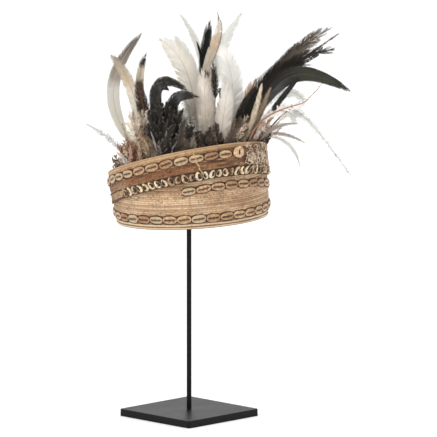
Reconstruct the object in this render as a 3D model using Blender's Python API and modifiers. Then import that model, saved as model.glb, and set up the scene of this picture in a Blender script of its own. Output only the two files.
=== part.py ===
"""A feathered headdress on its display stand.

A hollow cap of two wound plant-fibre bands carries three rows of cut cowries, a row of small
leaning shells and one round shell. Cock feathers rise from its woven crown, with short down
inside the rim. A square steel plate and a round rod hold it up.

Metres, +Z up, +X to the right and -Y to the front. The origin is the middle of the base plate's
underside.
"""

import math
from collections import namedtuple

import bmesh
import bpy
from mathutils import Matrix, Vector

# Clearance between pieces that touch on the real object
gap = 0.0003

# Stand
plate_side = 0.120
plate_thick = 0.009
plate_corner = 0.0025
plate_edge = 0.0006
rod_radius = 0.003
rod_sides = 16
seat_radius = 0.024
seat_thick = 0.002
seat_sides = 32

# Hat levels. hem_height and hat_height, from the hem to the rim, are those of the hat's middle,
# and a rise is how much a level climbs per metre to the right or the front.
hem_height = 0.245
hem_rise_right = 0.057
hem_rise_front = 0.020
hat_height = 0.0765
rim_rise_right = 0.190
rim_rise_front = 0.275
rim_rise_back = 0.100
rim_turnover = 0.020
crown_drop = 0.025
crown_thick = 0.003

# Hat radii, and how far its middle lies to the right of the rod
hem_radius = 0.0920
waist_radius = 0.0950
waist_rise = 0.030
rim_radius = 0.0980
hem_shift = 0.0045
rim_shift = -0.0016
lower_wall = 0.0033
upper_wall = 0.0033
upper_band_rise = 0.0355
cord_bulge = 0.0007
turns = 48

# Shell rows. Angles run from the front to the right, in degrees.
cowrie_pitch = 0.0187
cowrie_tall = 0.0108
cowrie_thick = 0.0036
cowrie_end_margin = 0.0009
small_shell_pitch = 0.0085
small_shell_tall = 0.0098
small_shell_thick = 0.0032
small_shell_lean = 0.35
lower_row_rise = 0.013
middle_row_below = 0.0105
middle_row_angles = (-6, 138)
small_row_above = 0.006
upper_row_share = 0.317
upper_row_start = -240
round_shell_radius = 0.0070
round_shell_face_radius = 0.0060
round_shell_thick = 0.0030
round_shell_sides = 20
round_shell_slot_wide = 0.0022
round_shell_slot_tall = 0.0062
round_shell_share = 0.293
round_shell_angle = 39.5

# Plume: the reach sideways, the height above the rim's middle and the depth of the farthest tips
plume_reach = 0.200
plume_height = 0.180
plume_depth = 0.090
widest_blade = 0.030
quill_radius = 0.0010
quill_taper = 0.7
blade_thick = 0.0012
blade_stations = 9
blade_cup = 0.05

# Down inside the rim
down_radius = 0.0830
down_length = 0.056
down_valley = 0.010
down_thick = 0.0030
down_lean = 0.06
down_pitch = 0.0110
down_shortest = 0.64
down_front_angles = (-60, 47)
down_back_angles = (126, 240)

# Half the distance between the two points that give a curve's direction, as a share or an angle
tangent_step = 0.01


rim_height = hem_height + hat_height
# The upper band's lower edge is this far below the rim, and the two upper rows lie at a share of it
upper_band_depth = hat_height - upper_band_rise


def hem_level(x, y):
    return hem_height + hem_rise_right * x - hem_rise_front * y


def rim_level(x, y):
    """The rim climbs to the front and right, and is flatter behind."""
    mean = (rim_rise_front + rim_rise_back) / 2
    half_change = (rim_rise_front - rim_rise_back) / 2
    fold = math.hypot(y, rim_turnover) - rim_turnover
    return rim_height + rim_rise_right * x - mean * y + half_change * fold


def crown_level(x, y):
    """The flat level where the crown rests on the lower band."""
    mean = (rim_rise_front + rim_rise_back) / 2
    return rim_height - crown_drop + rim_rise_right * x - mean * y


def above(level, rise):
    """A level this much higher than another."""
    return lambda x, y: level(x, y) + rise


def axis_x(z):
    """Where the hat's leaning axis is at a height."""
    share = (z - hem_height) / (rim_height - hem_height)
    return hem_shift + (rim_shift - hem_shift) * share


def on_hat(angle, radius, level):
    """The point at this angle from the front (to the right) and this distance from the axis."""
    x = radius * math.sin(angle)
    y = -radius * math.cos(angle)
    for _ in range(4):
        x = axis_x(level(x, y)) + radius * math.sin(angle)
    return Vector((x, y, level(x, y)))


def lower_radius(rise):
    """The lower band's outer radius this far above the hem: it flares to its waist."""
    share = min(1.0, max(0.0, rise / waist_rise))
    return waist_radius - (waist_radius - hem_radius) * (1 - share) ** 2


upper_radius = waist_radius + gap + upper_wall


def upper_outer_radius(drop):
    """The upper band's outer radius this far below the rim."""
    share = min(1.0, max(0.0, 1 - drop / crown_drop))
    return upper_radius + (rim_radius - upper_radius) * share


def on_lower_band(angle, level):
    point = on_hat(angle, waist_radius, level)
    for _ in range(4):
        point = on_hat(angle, lower_radius(point.z - hem_level(point.x, point.y)), level)
    return point


def on_upper_band(angle, level):
    point = on_hat(angle, upper_radius, level)
    for _ in range(4):
        point = on_hat(angle, upper_outer_radius(rim_level(point.x, point.y) - point.z), level)
    return point


def surface_frame(on_band, angle, level):
    """(point, outward, along, up) of a band's surface: along runs to growing angles."""
    lift = small_shell_tall / 2
    point = on_band(angle, level)
    after = on_band(angle + tangent_step, level)
    along = (after - on_band(angle - tangent_step, level)).normalized()
    up = on_band(angle, above(level, lift)) - on_band(angle, above(level, -lift))
    outward = along.cross(up).normalized()
    return point, outward, along, outward.cross(along)


def material(name, colour, roughness, metallic=0.0):
    made = bpy.data.materials.new(name)
    made.use_nodes = True
    shader = made.node_tree.nodes["Principled BSDF"]
    shader.inputs["Base Color"].default_value = (*colour, 1.0)
    shader.inputs["Roughness"].default_value = roughness
    shader.inputs["Metallic"].default_value = metallic
    return made


def mesh_object(name, bm, finish, collection):
    """The finished bmesh as an object of this name, with its normals facing out."""
    bmesh.ops.recalc_face_normals(bm, faces=bm.faces)
    mesh = bpy.data.meshes.new(name)
    bm.to_mesh(mesh)
    bm.free()
    mesh.materials.append(finish)
    mesh.shade_smooth()
    mesh.set_sharp_from_angle(angle=math.radians(40))
    made = bpy.data.objects.new(name, mesh)
    collection.objects.link(made)
    return made


def skin(name, rings, finish, collection, round_trip=False):
    """One closed body through rings of equally many points, capped unless the rings run round."""
    bm = bmesh.new()
    rows = [[bm.verts.new(point) for point in ring] for ring in rings]
    pairs = list(zip(rows, rows[1:]))
    if round_trip:
        pairs.append((rows[-1], rows[0]))
    else:
        bm.faces.new(rows[0])
        bm.faces.new(rows[-1])
    for first, second in pairs:
        for k in range(len(first)):
            after = (k + 1) % len(first)
            bm.faces.new((first[k], first[after], second[after], second[k]))
    return mesh_object(name, bm, finish, collection)


# Stand


def make_base_plate(parts, finish):
    """A square plate with rounded corners, one corner to the front."""
    bm = bmesh.new()
    bmesh.ops.create_cube(bm, size=1.0)
    bmesh.ops.scale(bm, vec=(plate_side, plate_side, plate_thick), verts=bm.verts)
    bmesh.ops.translate(bm, vec=(0, 0, plate_thick / 2), verts=bm.verts)
    upright = [e for e in bm.edges if abs(e.verts[0].co.z - e.verts[1].co.z) > plate_thick / 2]
    bmesh.ops.bevel(
        bm, geom=upright, offset=plate_corner, segments=3, profile=0.5, affect="EDGES"
    )
    bmesh.ops.rotate(bm, matrix=Matrix.Rotation(math.radians(45), 3, "Z"), verts=bm.verts)
    plate = mesh_object("base_plate", bm, finish, parts)
    edge = plate.modifiers.new("edge", "BEVEL")
    edge.width = plate_edge
    edge.segments = 1
    edge.limit_method = "ANGLE"
    edge.angle_limit = math.radians(60)


def crown_normal():
    mean = (rim_rise_front + rim_rise_back) / 2
    return Vector((-rim_rise_right, mean, 1.0)).normalized()


def make_post(parts, cutters, finish):
    """The rod, with the plain leaning seat plate under the crown joined to its top."""
    seat_top = crown_level(0, 0)
    rod_low = plate_thick + gap
    rod_high = seat_top - seat_thick / 2
    bm = bmesh.new()
    bmesh.ops.create_cone(
        bm, cap_ends=True, segments=rod_sides, radius1=rod_radius, radius2=rod_radius,
        depth=rod_high - rod_low,
    )
    bmesh.ops.translate(bm, vec=(0, 0, (rod_low + rod_high) / 2), verts=bm.verts)
    post = mesh_object("post", bm, finish, parts)

    bm = bmesh.new()
    bmesh.ops.create_cone(
        bm, cap_ends=True, segments=seat_sides, radius1=seat_radius, radius2=seat_radius,
        depth=seat_thick,
    )
    lean = Vector((0, 0, 1)).rotation_difference(crown_normal()).to_matrix()
    bmesh.ops.rotate(bm, matrix=lean, verts=bm.verts)
    centre = Vector((0, 0, seat_top)) - crown_normal() * seat_thick / 2
    bmesh.ops.translate(bm, vec=centre, verts=bm.verts)
    seat = mesh_object("seat", bm, finish, cutters)
    seat.hide_render = True
    seat.display_type = "WIRE"
    union = post.modifiers.new("seat", "BOOLEAN")
    union.operation = "UNION"
    union.solver = "EXACT"
    union.object = seat


# Hat

# Outer outline of the lower band from the hem up: share of its height, share of the cord's bulge
lower_outline = (
    (0.00, -1.0),
    (0.02, 0.8),
    (0.05, 0.8),
    (0.07, 0.0),
    (0.24, 0.0),
    (0.45, 0.0),
    (1.00, 0.0),
)
# The same for the upper band, from its lower edge to the rim
upper_outline = (
    (0.00, -1.0),
    (0.03, 0.0),
    (0.42, 0.0),
    (0.50, 1.0),
    (0.57, 0.0),
    (0.92, 0.0),
    (0.97, 0.6),
    (1.00, -1.0),
)


def band_rings(low, high, outline, radius_at, wall, datum):
    """Sections of a band round the hat. radius_at takes the distance from the datum level."""
    rings = []
    for turn in range(turns):
        angle = 2 * math.pi * turn / turns

        def point_at(share, offset):
            level = lambda x, y: low(x, y) + (high(x, y) - low(x, y)) * share
            spot = on_hat(angle, waist_radius, level)
            for _ in range(3):
                away = abs(datum(spot.x, spot.y) - spot.z)
                spot = on_hat(angle, radius_at(away) + offset, level)
            return spot

        outer = [point_at(share, bulge * cord_bulge) for share, bulge in outline]
        inner = [point_at(share, -wall) for share in (1.0, 0.5, 0.0)]
        rings.append(outer + inner)
    return rings


def make_bands(parts, lower_finish, upper_finish):
    rings = band_rings(
        hem_level, crown_level, lower_outline, lower_radius, lower_wall, hem_level
    )
    skin("lower_band", rings, lower_finish, parts, round_trip=True)
    low = above(rim_level, -upper_band_depth)
    rings = band_rings(
        low, rim_level, upper_outline, upper_outer_radius, upper_wall, rim_level
    )
    skin("upper_band", rings, upper_finish, parts, round_trip=True)


def crown_edge_radius(angle, level):
    """The upper band's inner radius at a level, less the clearance."""
    spot = on_upper_band(angle, level)
    return upper_outer_radius(rim_level(spot.x, spot.y) - spot.z) - upper_wall - gap


def make_crown(parts, finish):
    """A flat woven disc that lies on the lower band, inside the upper one."""
    underside = above(crown_level, gap)
    top = above(crown_level, gap + crown_thick)
    rings = []
    for level, share in ((underside, 0.5), (underside, 1.0), (top, 1.0), (top, 0.5)):
        ring = []
        for turn in range(turns):
            angle = 2 * math.pi * turn / turns
            edge = min(crown_edge_radius(angle, underside), crown_edge_radius(angle, top))
            ring.append(on_hat(angle, edge * share, level))
        rings.append(ring)
    skin("crown_cap", rings, finish, parts)


# Shell rows

# A cowrie's section, seen along the row: share of its half height, share of its thickness.
# The middle point is the slit along its face.
cowrie_section = (
    (-0.72, 0.00),
    (-1.00, 0.38),
    (-0.42, 1.00),
    (0.00, 0.70),
    (0.42, 1.00),
    (1.00, 0.38),
    (0.72, 0.00),
)
# How a cowrie swells along the row: share of the pitch, share of its full section
cowrie_swell = ((0.00, 0.42), (0.20, 0.88), (0.50, 1.00), (0.80, 0.88))
small_shell_section = (
    (-0.80, 0.00),
    (-1.00, 0.45),
    (0.00, 1.00),
    (1.00, 0.45),
    (0.80, 0.00),
)
small_shell_swell = ((0.00, 0.55), (0.30, 1.00), (0.70, 1.00))


def make_row(name, on_band, level, start, end, pitch, tall, thick, section, swell, lean,
             finish, parts):
    """A strand of shells on a band, from one angle to another in degrees, fused into one body.
    lean slides a shell's upper end along the row, as a share of its height."""
    whole = end - start >= 360
    sweep = math.radians(min(360, end - start))
    length = sweep * upper_radius
    shells = round(length / pitch)
    rings = []
    for shell in range(shells):
        for place, size in swell:
            angle = math.radians(start) + sweep * (shell + place) / shells
            point, outward, along, up = surface_frame(on_band, angle, level)
            point = point + outward * gap
            ring = []
            for high, out in section:
                rise = high * size * tall / 2
                spot = point + up * rise + along * rise * lean
                ring.append(spot + outward * (out * size * thick + (1 - size) * gap))
            rings.append(ring)
    if not whole:
        rings.pop(0)
    skin(name, rings, finish, parts, round_trip=whole)


def make_shell_rows(parts, shell, worn_shell):
    cowrie = (cowrie_pitch, cowrie_tall, cowrie_thick, cowrie_section, cowrie_swell, 0.0)
    lower_row = above(hem_level, lower_row_rise)
    middle_row = above(rim_level, -upper_band_depth - middle_row_below)
    upper_row = above(rim_level, -upper_band_depth * upper_row_share)
    small_row = above(rim_level, small_row_above - upper_band_depth)
    disc_half = math.degrees((round_shell_radius + cowrie_end_margin) / upper_radius)
    upper_row_end = round_shell_angle - disc_half
    make_row("cowrie_row_lower", on_lower_band, lower_row, 0, 360, *cowrie, worn_shell, parts)
    make_row("cowrie_row_middle", on_lower_band, middle_row, *middle_row_angles, *cowrie,
             worn_shell, parts)
    make_row("cowrie_row_upper", on_upper_band, upper_row, upper_row_start, upper_row_end,
             *cowrie, worn_shell, parts)
    make_row("nassa_row", on_upper_band, small_row, 0, 360, small_shell_pitch,
             small_shell_tall, small_shell_thick, small_shell_section, small_shell_swell,
             small_shell_lean, shell, parts)


def make_round_shell(parts, cutters, finish):
    """A round disc flat against the upper band, with a slot cut through it."""
    level = above(rim_level, -upper_band_depth * round_shell_share)
    point, outward, along, up = surface_frame(
        on_upper_band, math.radians(round_shell_angle), level
    )
    place = Matrix((along, up, outward)).transposed().to_4x4()
    place.translation = point + outward * (2 * gap + round_shell_thick / 2)
    bm = bmesh.new()
    bmesh.ops.create_cone(
        bm, cap_ends=True, segments=round_shell_sides, radius1=round_shell_radius,
        radius2=round_shell_face_radius, depth=round_shell_thick,
    )
    disc = mesh_object("round_shell", bm, finish, parts)
    disc.matrix_world = place
    bm = bmesh.new()
    bmesh.ops.create_cube(bm, size=1.0)
    bmesh.ops.scale(
        bm, vec=(round_shell_slot_wide, round_shell_slot_tall, 3 * round_shell_thick),
        verts=bm.verts,
    )
    slot = mesh_object("slot", bm, finish, cutters)
    slot.matrix_world = place
    slot.hide_render = True
    slot.display_type = "WIRE"
    cut = disc.modifiers.new("slot", "BOOLEAN")
    cut.operation = "DIFFERENCE"
    cut.solver = "EXACT"
    cut.object = slot


# Plume

# Kinds of feather: bare share of the quill, where the blade is broadest, how full its outline is
FeatherKind = namedtuple("FeatherKind", "bare broadest fullness")
kinds = {
    "plume": FeatherKind(0.20, 0.52, 0.50),
    "sickle": FeatherKind(0.22, 0.46, 0.50),
    "hackle": FeatherKind(0.26, 0.55, 0.80),
    "wisp": FeatherKind(0.30, 0.45, 0.80),
    "leaf": FeatherKind(0.20, 0.60, 0.42),
}

# base_x and base_y are shares of the crown's radius. tip_x, tip_y and tip_z are shares of the
# plume's reach, depth and height. lean and arrive are the shaft's headings at its base and tip, in
# degrees from upright to the right; rise and reach are how far it keeps them, as shares of the
# straight line between its ends. width is a share of the widest blade, and turn twists the blade
# round its shaft, in degrees.
Feather = namedtuple(
    "Feather",
    "name base_x base_y tip_x tip_y tip_z lean arrive rise reach width kind turn colour",
)
feather_rows = (
    ("wisp_left", -0.55, 0.02, -0.637, 0.25, 0.205, -30, -66, 0.35, 0.35, 0.33, "wisp", 15, "white"),
    ("sickle_white", -0.43, 0.42, -0.289, 0.70, 0.786, -38, 42, 0.58, 0.42, 0.64, "sickle", 30, "white"),
    ("hackle_cream", -0.42, 0.00, -0.475, -0.12, 0.706, -20, -42, 0.33, 0.33, 0.62, "plume", -22, "cream"),
    ("banded", -0.34, 0.26, -0.264, 0.47, 0.663, -14, 22, 0.40, 0.35, 0.48, "leaf", 35, "cream"),
    ("brown_left", -0.38, -0.13, -0.315, -0.12, 0.520, -12, -14, 0.33, 0.33, 0.64, "plume", 20, "brown"),
    ("arch_black_a", -0.26, -0.24, -0.012, -0.37, 0.482, -12, 125, 0.83, 0.57, 0.52, "sickle", -22, "black"),
    ("arch_black_b", -0.03, -0.42, 0.054, -0.67, 0.462, -17, 104, 0.76, 0.47, 0.58, "sickle", -28, "black"),
    ("marabou_grey", 0.04, -0.16, -0.031, -0.25, 0.443, -4, -22, 0.33, 0.33, 0.78, "plume", -20, "grey"),
    ("broad_white", 0.14, 0.03, -0.183, -0.15, 0.813, -4, -62, 0.45, 0.30, 1.01, "plume", -10, "white"),
    ("spike_white", 0.15, 0.14, -0.090, 0.10, 0.816, -4, -40, 0.45, 0.30, 0.64, "plume", 28, "white"),
    ("thin_white", 0.21, 0.55, -0.059, 0.83, 0.911, 2, -40, 0.52, 0.28, 0.40, "hackle", 42, "white"),
    ("pointed_black", 0.23, 0.24, 0.125, 0.43, 0.886, -3, 10, 0.33, 0.33, 0.58, "leaf", 28, "black"),
    ("thin_black", 0.19, 0.38, 0.044, 0.57, 0.745, 2, -22, 0.33, 0.33, 0.25, "hackle", 38, "black"),
    ("tall_tan", 0.16, -0.16, 0.169, -0.20, 1.013, -10, -22, 0.62, 0.20, 0.49, "hackle", -24, "tan"),
    ("pale_white", 0.35, 0.42, 0.325, 0.67, 0.935, -6, 36, 0.40, 0.42, 0.75, "hackle", -38, "white"),
    ("wide_white", 0.41, 0.12, 0.170, 0.20, 0.754, 8, -38, 0.45, 0.36, 1.03, "plume", 20, "white"),
    ("hook_black", 0.27, -0.30, 0.146, -0.40, 0.661, 6, -8, 0.33, 0.33, 0.34, "hackle", -20, "black"),
    ("pink_grey_left", 0.19, -0.46, 0.085, -0.63, 0.633, 2, -6, 0.33, 0.33, 0.86, "plume", -32, "grey"),
    ("pink_grey_right", 0.36, -0.58, 0.237, -0.83, 0.561, 6, 8, 0.33, 0.33, 0.87, "plume", -34, "grey"),
    ("plume_black_upper", 0.50, 0.18, 0.845, 0.40, 0.840, 22, 58, 0.40, 0.36, 0.92, "plume", 24, "black"),
    ("plume_black_lower", 0.54, 0.02, 0.885, 0.07, 0.730, 24, 82, 0.46, 0.40, 0.62, "plume", 8, "black"),
    ("sickle_olive", 0.58, -0.14, 0.984, -0.23, 0.462, 22, 120, 0.72, 0.52, 0.60, "sickle", -18, "olive"),
    ("small_black", 0.61, -0.28, 0.673, -0.50, 0.590, 30, 40, 0.33, 0.33, 0.28, "hackle", -32, "black"),
    ("tuft_tan", 0.54, 0.42, 0.408, 0.63, 0.477, 6, 26, 0.33, 0.33, 0.72, "leaf", 38, "tan"),
    ("short_black", 0.48, -0.40, 0.408, -0.70, 0.536, 8, 42, 0.33, 0.33, 0.34, "hackle", -36, "black"),
    ("cream_left", 0.59, -0.45, 0.444, -0.90, 0.581, 22, 10, 0.33, 0.33, 0.32, "hackle", -42, "cream"),
    ("cream_right", 0.66, -0.40, 0.499, -0.70, 0.536, 26, 24, 0.33, 0.33, 0.29, "hackle", -36, "cream"),
    ("quill_brown", 0.72, -0.42, 0.807, -1.00, 0.583, 0, 50, 0.52, 0.30, 0.46, "wisp", -32, "brown"),
    ("tail_white", 0.66, 0.36, 0.994, 0.58, -0.190, 20, 144, 0.96, 0.72, 0.55, "wisp", 30, "white"),
    ("quill_dark", 0.70, 0.02, 0.628, 0.03, 0.332, 36, 56, 0.33, 0.33, 0.16, "hackle", 0, "black"),
    ("thin_grey", 0.74, -0.19, 0.667, -0.43, 0.259, 20, 94, 0.46, 0.33, 0.17, "hackle", -15, "grey"),
    ("curved_white", 0.80, 0.13, 0.675, 0.23, -0.100, 10, 176, 0.90, 0.60, 0.21, "hackle", 15, "white"),
    ("curved_grey", 0.78, 0.26, 0.714, 0.40, 0.051, 10, 124, 0.62, 0.46, 0.23, "hackle", 30, "grey"),
)
feather_table = [Feather(*row) for row in feather_rows]


def crown_top(x, y):
    return crown_level(x, y) + gap + crown_thick


def crown_radius():
    return upper_radius - upper_wall - gap


def heading(degrees):
    return Vector((math.sin(math.radians(degrees)), 0, math.cos(math.radians(degrees))))


def shaft_point(feather, share):
    """A point on the shaft: a cubic curve from the crown to the tip."""
    x = feather.base_x * crown_radius()
    y = feather.base_y * crown_radius()
    base = Vector((x, y, crown_top(x, y) + gap))
    tip = Vector((
        feather.tip_x * plume_reach,
        feather.tip_y * plume_depth,
        rim_height + feather.tip_z * plume_height,
    ))
    chord = math.hypot(tip.x - base.x, tip.z - base.z)
    depth = tip.y - base.y
    after_base = base + heading(feather.lean) * chord * feather.rise
    after_base.y += depth * feather.rise
    before_tip = tip - heading(feather.arrive) * chord * feather.reach
    before_tip.y -= depth * feather.reach
    left = 1 - share
    return (
        base * left ** 3
        + after_base * 3 * left ** 2 * share
        + before_tip * 3 * left * share ** 2
        + tip * share ** 3
    )


def blade_share(kind, share):
    """The blade's width at a place on the shaft, as a share of its broadest."""
    place = max(0.0, (share - kind.bare) / (1 - kind.bare))
    warped = place ** (math.log(0.5) / math.log(kind.broadest))
    return max(0.0, math.sin(math.pi * min(1.0, warped))) ** kind.fullness


def make_feather(feather, finish, parts):
    """A thin blade that is widest part of the way up its quill."""
    kind = kinds[feather.kind]
    rings = []
    for station in range(blade_stations):
        share = station / (blade_stations - 1)
        point = shaft_point(feather, share)
        ahead = shaft_point(feather, min(1.0, share + tangent_step))
        behind = shaft_point(feather, max(0.0, share - tangent_step))
        along = (ahead - behind).normalized()
        across = Vector((along.z, 0, -along.x)).normalized()
        across.rotate(Matrix.Rotation(math.radians(feather.turn), 3, along))
        face = along.cross(across)
        slim = 1 - quill_taper * share
        half = max(
            quill_radius * slim,
            feather.width * widest_blade / 2 * blade_share(kind, share),
        )
        thick = blade_thick / 2 * slim
        cup = face * blade_cup * half
        if station == 0:
            across = Vector((1, 0, rim_rise_right))
            face = Vector((0, 1, -(rim_rise_front + rim_rise_back) / 2))
            half = quill_radius
            thick = quill_radius
            cup = Vector()
        rings.append([
            point - across * half + cup,
            point + face * thick,
            point + across * half + cup,
            point - face * thick,
        ])
    skin("feather_" + feather.name, rings, finish, parts)


def make_down(name, start, end, finish, parts):
    """Short locks in a row, pointed at their tips and joined along their foot."""
    foot = above(crown_top, gap)
    sweep = math.radians(end - start)
    locks = round(sweep * down_radius / down_pitch)
    rings = []
    for station in range(2 * locks + 1):
        angle = math.radians(start) + sweep * station / (2 * locks)
        is_tip = station % 2 == 1
        uneven = (1 + math.sin(station ** 2)) / 2
        tip_length = down_length * (down_shortest + (1 - down_shortest) * uneven)
        length = tip_length if is_tip else down_valley
        half = down_thick / 2
        half_top = half / 3 if is_tip else half
        lean = length * down_lean
        rings.append([
            on_hat(angle, down_radius - half, foot),
            on_hat(angle, down_radius + half, foot),
            on_hat(angle, down_radius + lean + half_top, above(foot, length)),
            on_hat(angle, down_radius + lean - half_top, above(foot, length)),
        ])
    skin(name, rings, finish, parts)


def main():
    for old in list(bpy.data.objects):
        bpy.data.objects.remove(old, do_unlink=True)
    parts = bpy.data.collections.new("feathered_headdress")
    cutters = bpy.data.collections.new("cutters")
    for collection in (parts, cutters):
        bpy.context.scene.collection.children.link(collection)

    steel = material("black_steel", (0.012, 0.012, 0.013), 0.42, 0.2)
    fibre = material("plant_fibre", (0.52, 0.40, 0.27), 0.85)
    worn_fibre = material("worn_fibre", (0.34, 0.21, 0.12), 0.85)
    crown = material("woven_crown", (0.30, 0.21, 0.13), 0.9)
    shell = material("small_shell", (0.55, 0.47, 0.36), 0.4)
    worn_shell = material("cowrie", (0.42, 0.30, 0.19), 0.4)
    pale_shell = material("pale_shell", (0.66, 0.50, 0.34), 0.4)
    down = material("down", (0.16, 0.11, 0.08), 0.9)
    feather_finishes = {
        "white": material("white_feather", (0.72, 0.68, 0.60), 0.7),
        "cream": material("cream_feather", (0.60, 0.52, 0.40), 0.7),
        "tan": material("tan_feather", (0.50, 0.33, 0.20), 0.7),
        "brown": material("brown_feather", (0.09, 0.06, 0.04), 0.7),
        "grey": material("grey_feather", (0.45, 0.41, 0.37), 0.7),
        "olive": material("olive_feather", (0.05, 0.05, 0.03), 0.5),
        "black": material("black_feather", (0.02, 0.018, 0.015), 0.45),
    }

    make_base_plate(parts, steel)
    make_post(parts, cutters, steel)
    make_bands(parts, fibre, worn_fibre)
    make_crown(parts, crown)
    make_shell_rows(parts, shell, worn_shell)
    make_round_shell(parts, cutters, pale_shell)
    for feather in feather_table:
        make_feather(feather, feather_finishes[feather.colour], parts)
    make_down("down_front", *down_front_angles, down, parts)
    make_down("down_back", *down_back_angles, down, parts)


main()
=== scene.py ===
import math

import bmesh
import bpy
import numpy as np
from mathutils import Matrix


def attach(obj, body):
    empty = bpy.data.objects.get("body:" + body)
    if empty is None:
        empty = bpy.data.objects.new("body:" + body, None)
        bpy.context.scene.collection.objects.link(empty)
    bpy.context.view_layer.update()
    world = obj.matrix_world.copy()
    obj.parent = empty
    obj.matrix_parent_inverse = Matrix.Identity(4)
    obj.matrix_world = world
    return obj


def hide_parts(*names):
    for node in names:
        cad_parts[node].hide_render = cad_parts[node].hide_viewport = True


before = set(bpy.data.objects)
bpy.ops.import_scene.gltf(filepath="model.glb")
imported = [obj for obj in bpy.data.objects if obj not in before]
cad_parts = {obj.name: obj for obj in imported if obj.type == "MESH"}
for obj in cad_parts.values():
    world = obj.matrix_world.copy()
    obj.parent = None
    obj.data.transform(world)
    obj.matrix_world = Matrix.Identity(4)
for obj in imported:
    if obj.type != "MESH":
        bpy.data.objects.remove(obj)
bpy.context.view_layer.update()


# Shader sums written as Python sums

class Field:  # a socket that takes part in sums
    def __init__(self, finish, socket):
        self.finish = finish
        self.socket = socket

    def math(self, operation, *others):
        values = dict(enumerate((self, *others)))
        return self.finish.add("ShaderNodeMath", {"operation": operation}, values)

    def __add__(self, other):
        return self.math("ADD", other)

    def __sub__(self, other):
        return self.math("SUBTRACT", other)

    def __mul__(self, other):
        return self.math("MULTIPLY", other)

    def __rsub__(self, other):
        return self.finish.add("ShaderNodeMath", {"operation": "SUBTRACT"}, {0: other, 1: self})

    __radd__ = __add__
    __rmul__ = __mul__

    def wave(self):  # 0 to 1, once in each unit
        return (self * (2 * math.pi)).math("SINE") * 0.5 + 0.5

    def between(self, low, high):  # 0 below low, 1 above high
        return self.finish.add(
            "ShaderNodeMapRange", {"interpolation_type": "SMOOTHSTEP"},
            {"Value": self, "From Min": low, "From Max": high},
        )


class Finish:  # one material and the nodes that make it
    def __init__(self, name, **constants):
        self.material = bpy.data.materials.new(name)
        self.material.use_nodes = True
        self.tree = self.material.node_tree
        self.shader = self.tree.nodes["Principled BSDF"]
        for socket, value in constants.items():
            self.shader.inputs[socket.replace("_", " ")].default_value = value

    def add(self, kind, settings=None, values=None, out=0):
        node = self.tree.nodes.new(kind)
        for key, value in (settings or {}).items():
            if key == "stops":
                self.setStops(node.color_ramp, value)
            else:
                setattr(node, key, value)
        for key, value in (values or {}).items():
            if isinstance(value, Field):
                self.tree.links.new(value.socket, node.inputs[key])
            else:
                node.inputs[key].default_value = value
        return Field(self, node.outputs[out])

    def setStops(self, ramp, stops):
        while len(ramp.elements) < len(stops):
            ramp.elements.new(0.5)
        for element, (place, colour) in zip(ramp.elements, stops):
            element.position = place
            element.color = (*colour, 1.0)

    def mark(self, name, out="Fac"):  # a number or vector kept on the mesh
        return self.add("ShaderNodeAttribute", {"attribute_name": name}, out=out)

    def noise(self, where, scale, detail, rough):
        values = {"Vector": where, "Scale": scale, "Detail": detail, "Roughness": rough}
        return self.add("ShaderNodeTexNoise", {}, values)

    def stretch(self, where, scale):
        return self.add("ShaderNodeMapping", {"vector_type": "POINT"}, {"Vector": where, "Scale": scale})

    def position(self):
        return self.add("ShaderNodeNewGeometry", {}, {}, "Position")

    def ramp(self, value, stops):
        return self.add("ShaderNodeValToRGB", {"stops": stops}, {"Fac": value})

    def mix(self, share, first, second, how="MIX"):
        settings = {"data_type": "RGBA", "blend_type": how}
        colours = [c if isinstance(c, Field) else (*c, 1.0) for c in (first, second)]
        return self.add("ShaderNodeMix", settings, {0: share, 6: colours[0], 7: colours[1]}, 2)

    def shade(self, colour, amount):  # amount 1 leaves the colour as it is
        grey = self.add("ShaderNodeCombineColor", {}, {0: amount, 1: amount, 2: amount})
        return self.mix(1.0, colour, grey, "MULTIPLY")

    def bump(self, height, distance, strength):
        values = {"Strength": strength, "Distance": distance, "Height": height}
        self.feed("Normal", self.add("ShaderNodeBump", {}, values))

    def feed(self, socket, value):
        self.tree.links.new(value.socket, self.shader.inputs[socket])


def tone(red, green, blue):  # a screen colour, 0 to 255, as the shader's own numbers
    made = []
    for part in (red, green, blue):
        part = part / 255
        made.append(part / 12.92 if part <= 0.04045 else ((part + 0.055) / 1.055) ** 2.4)
    return tuple(made)


def tones(look, *names):
    return [tone(*look[name]) for name in names]


# Meshes gathered from grids of points

def quadCorners(grid):  # the four corners of each cell, in order round the cell
    return np.stack([grid[:, :-1, :-1], grid[:, 1:, :-1], grid[:, 1:, 1:], grid[:, :-1, 1:]], 3)


def bakeMap(shape, box):  # each grid gets its own column of the box, face corner by face corner
    grids, along, across = shape
    low, high = box
    column = np.arange(grids)[:, None, None]
    u = (column + 0.1 + 0.8 * np.linspace(0, 1, across)[None, None]) / grids
    v = low + (high - low) * np.linspace(0, 1, along)[None, :, None]
    return quadCorners(np.stack(np.broadcast_arrays(u, v), -1)).reshape(-1, 2)


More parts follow.
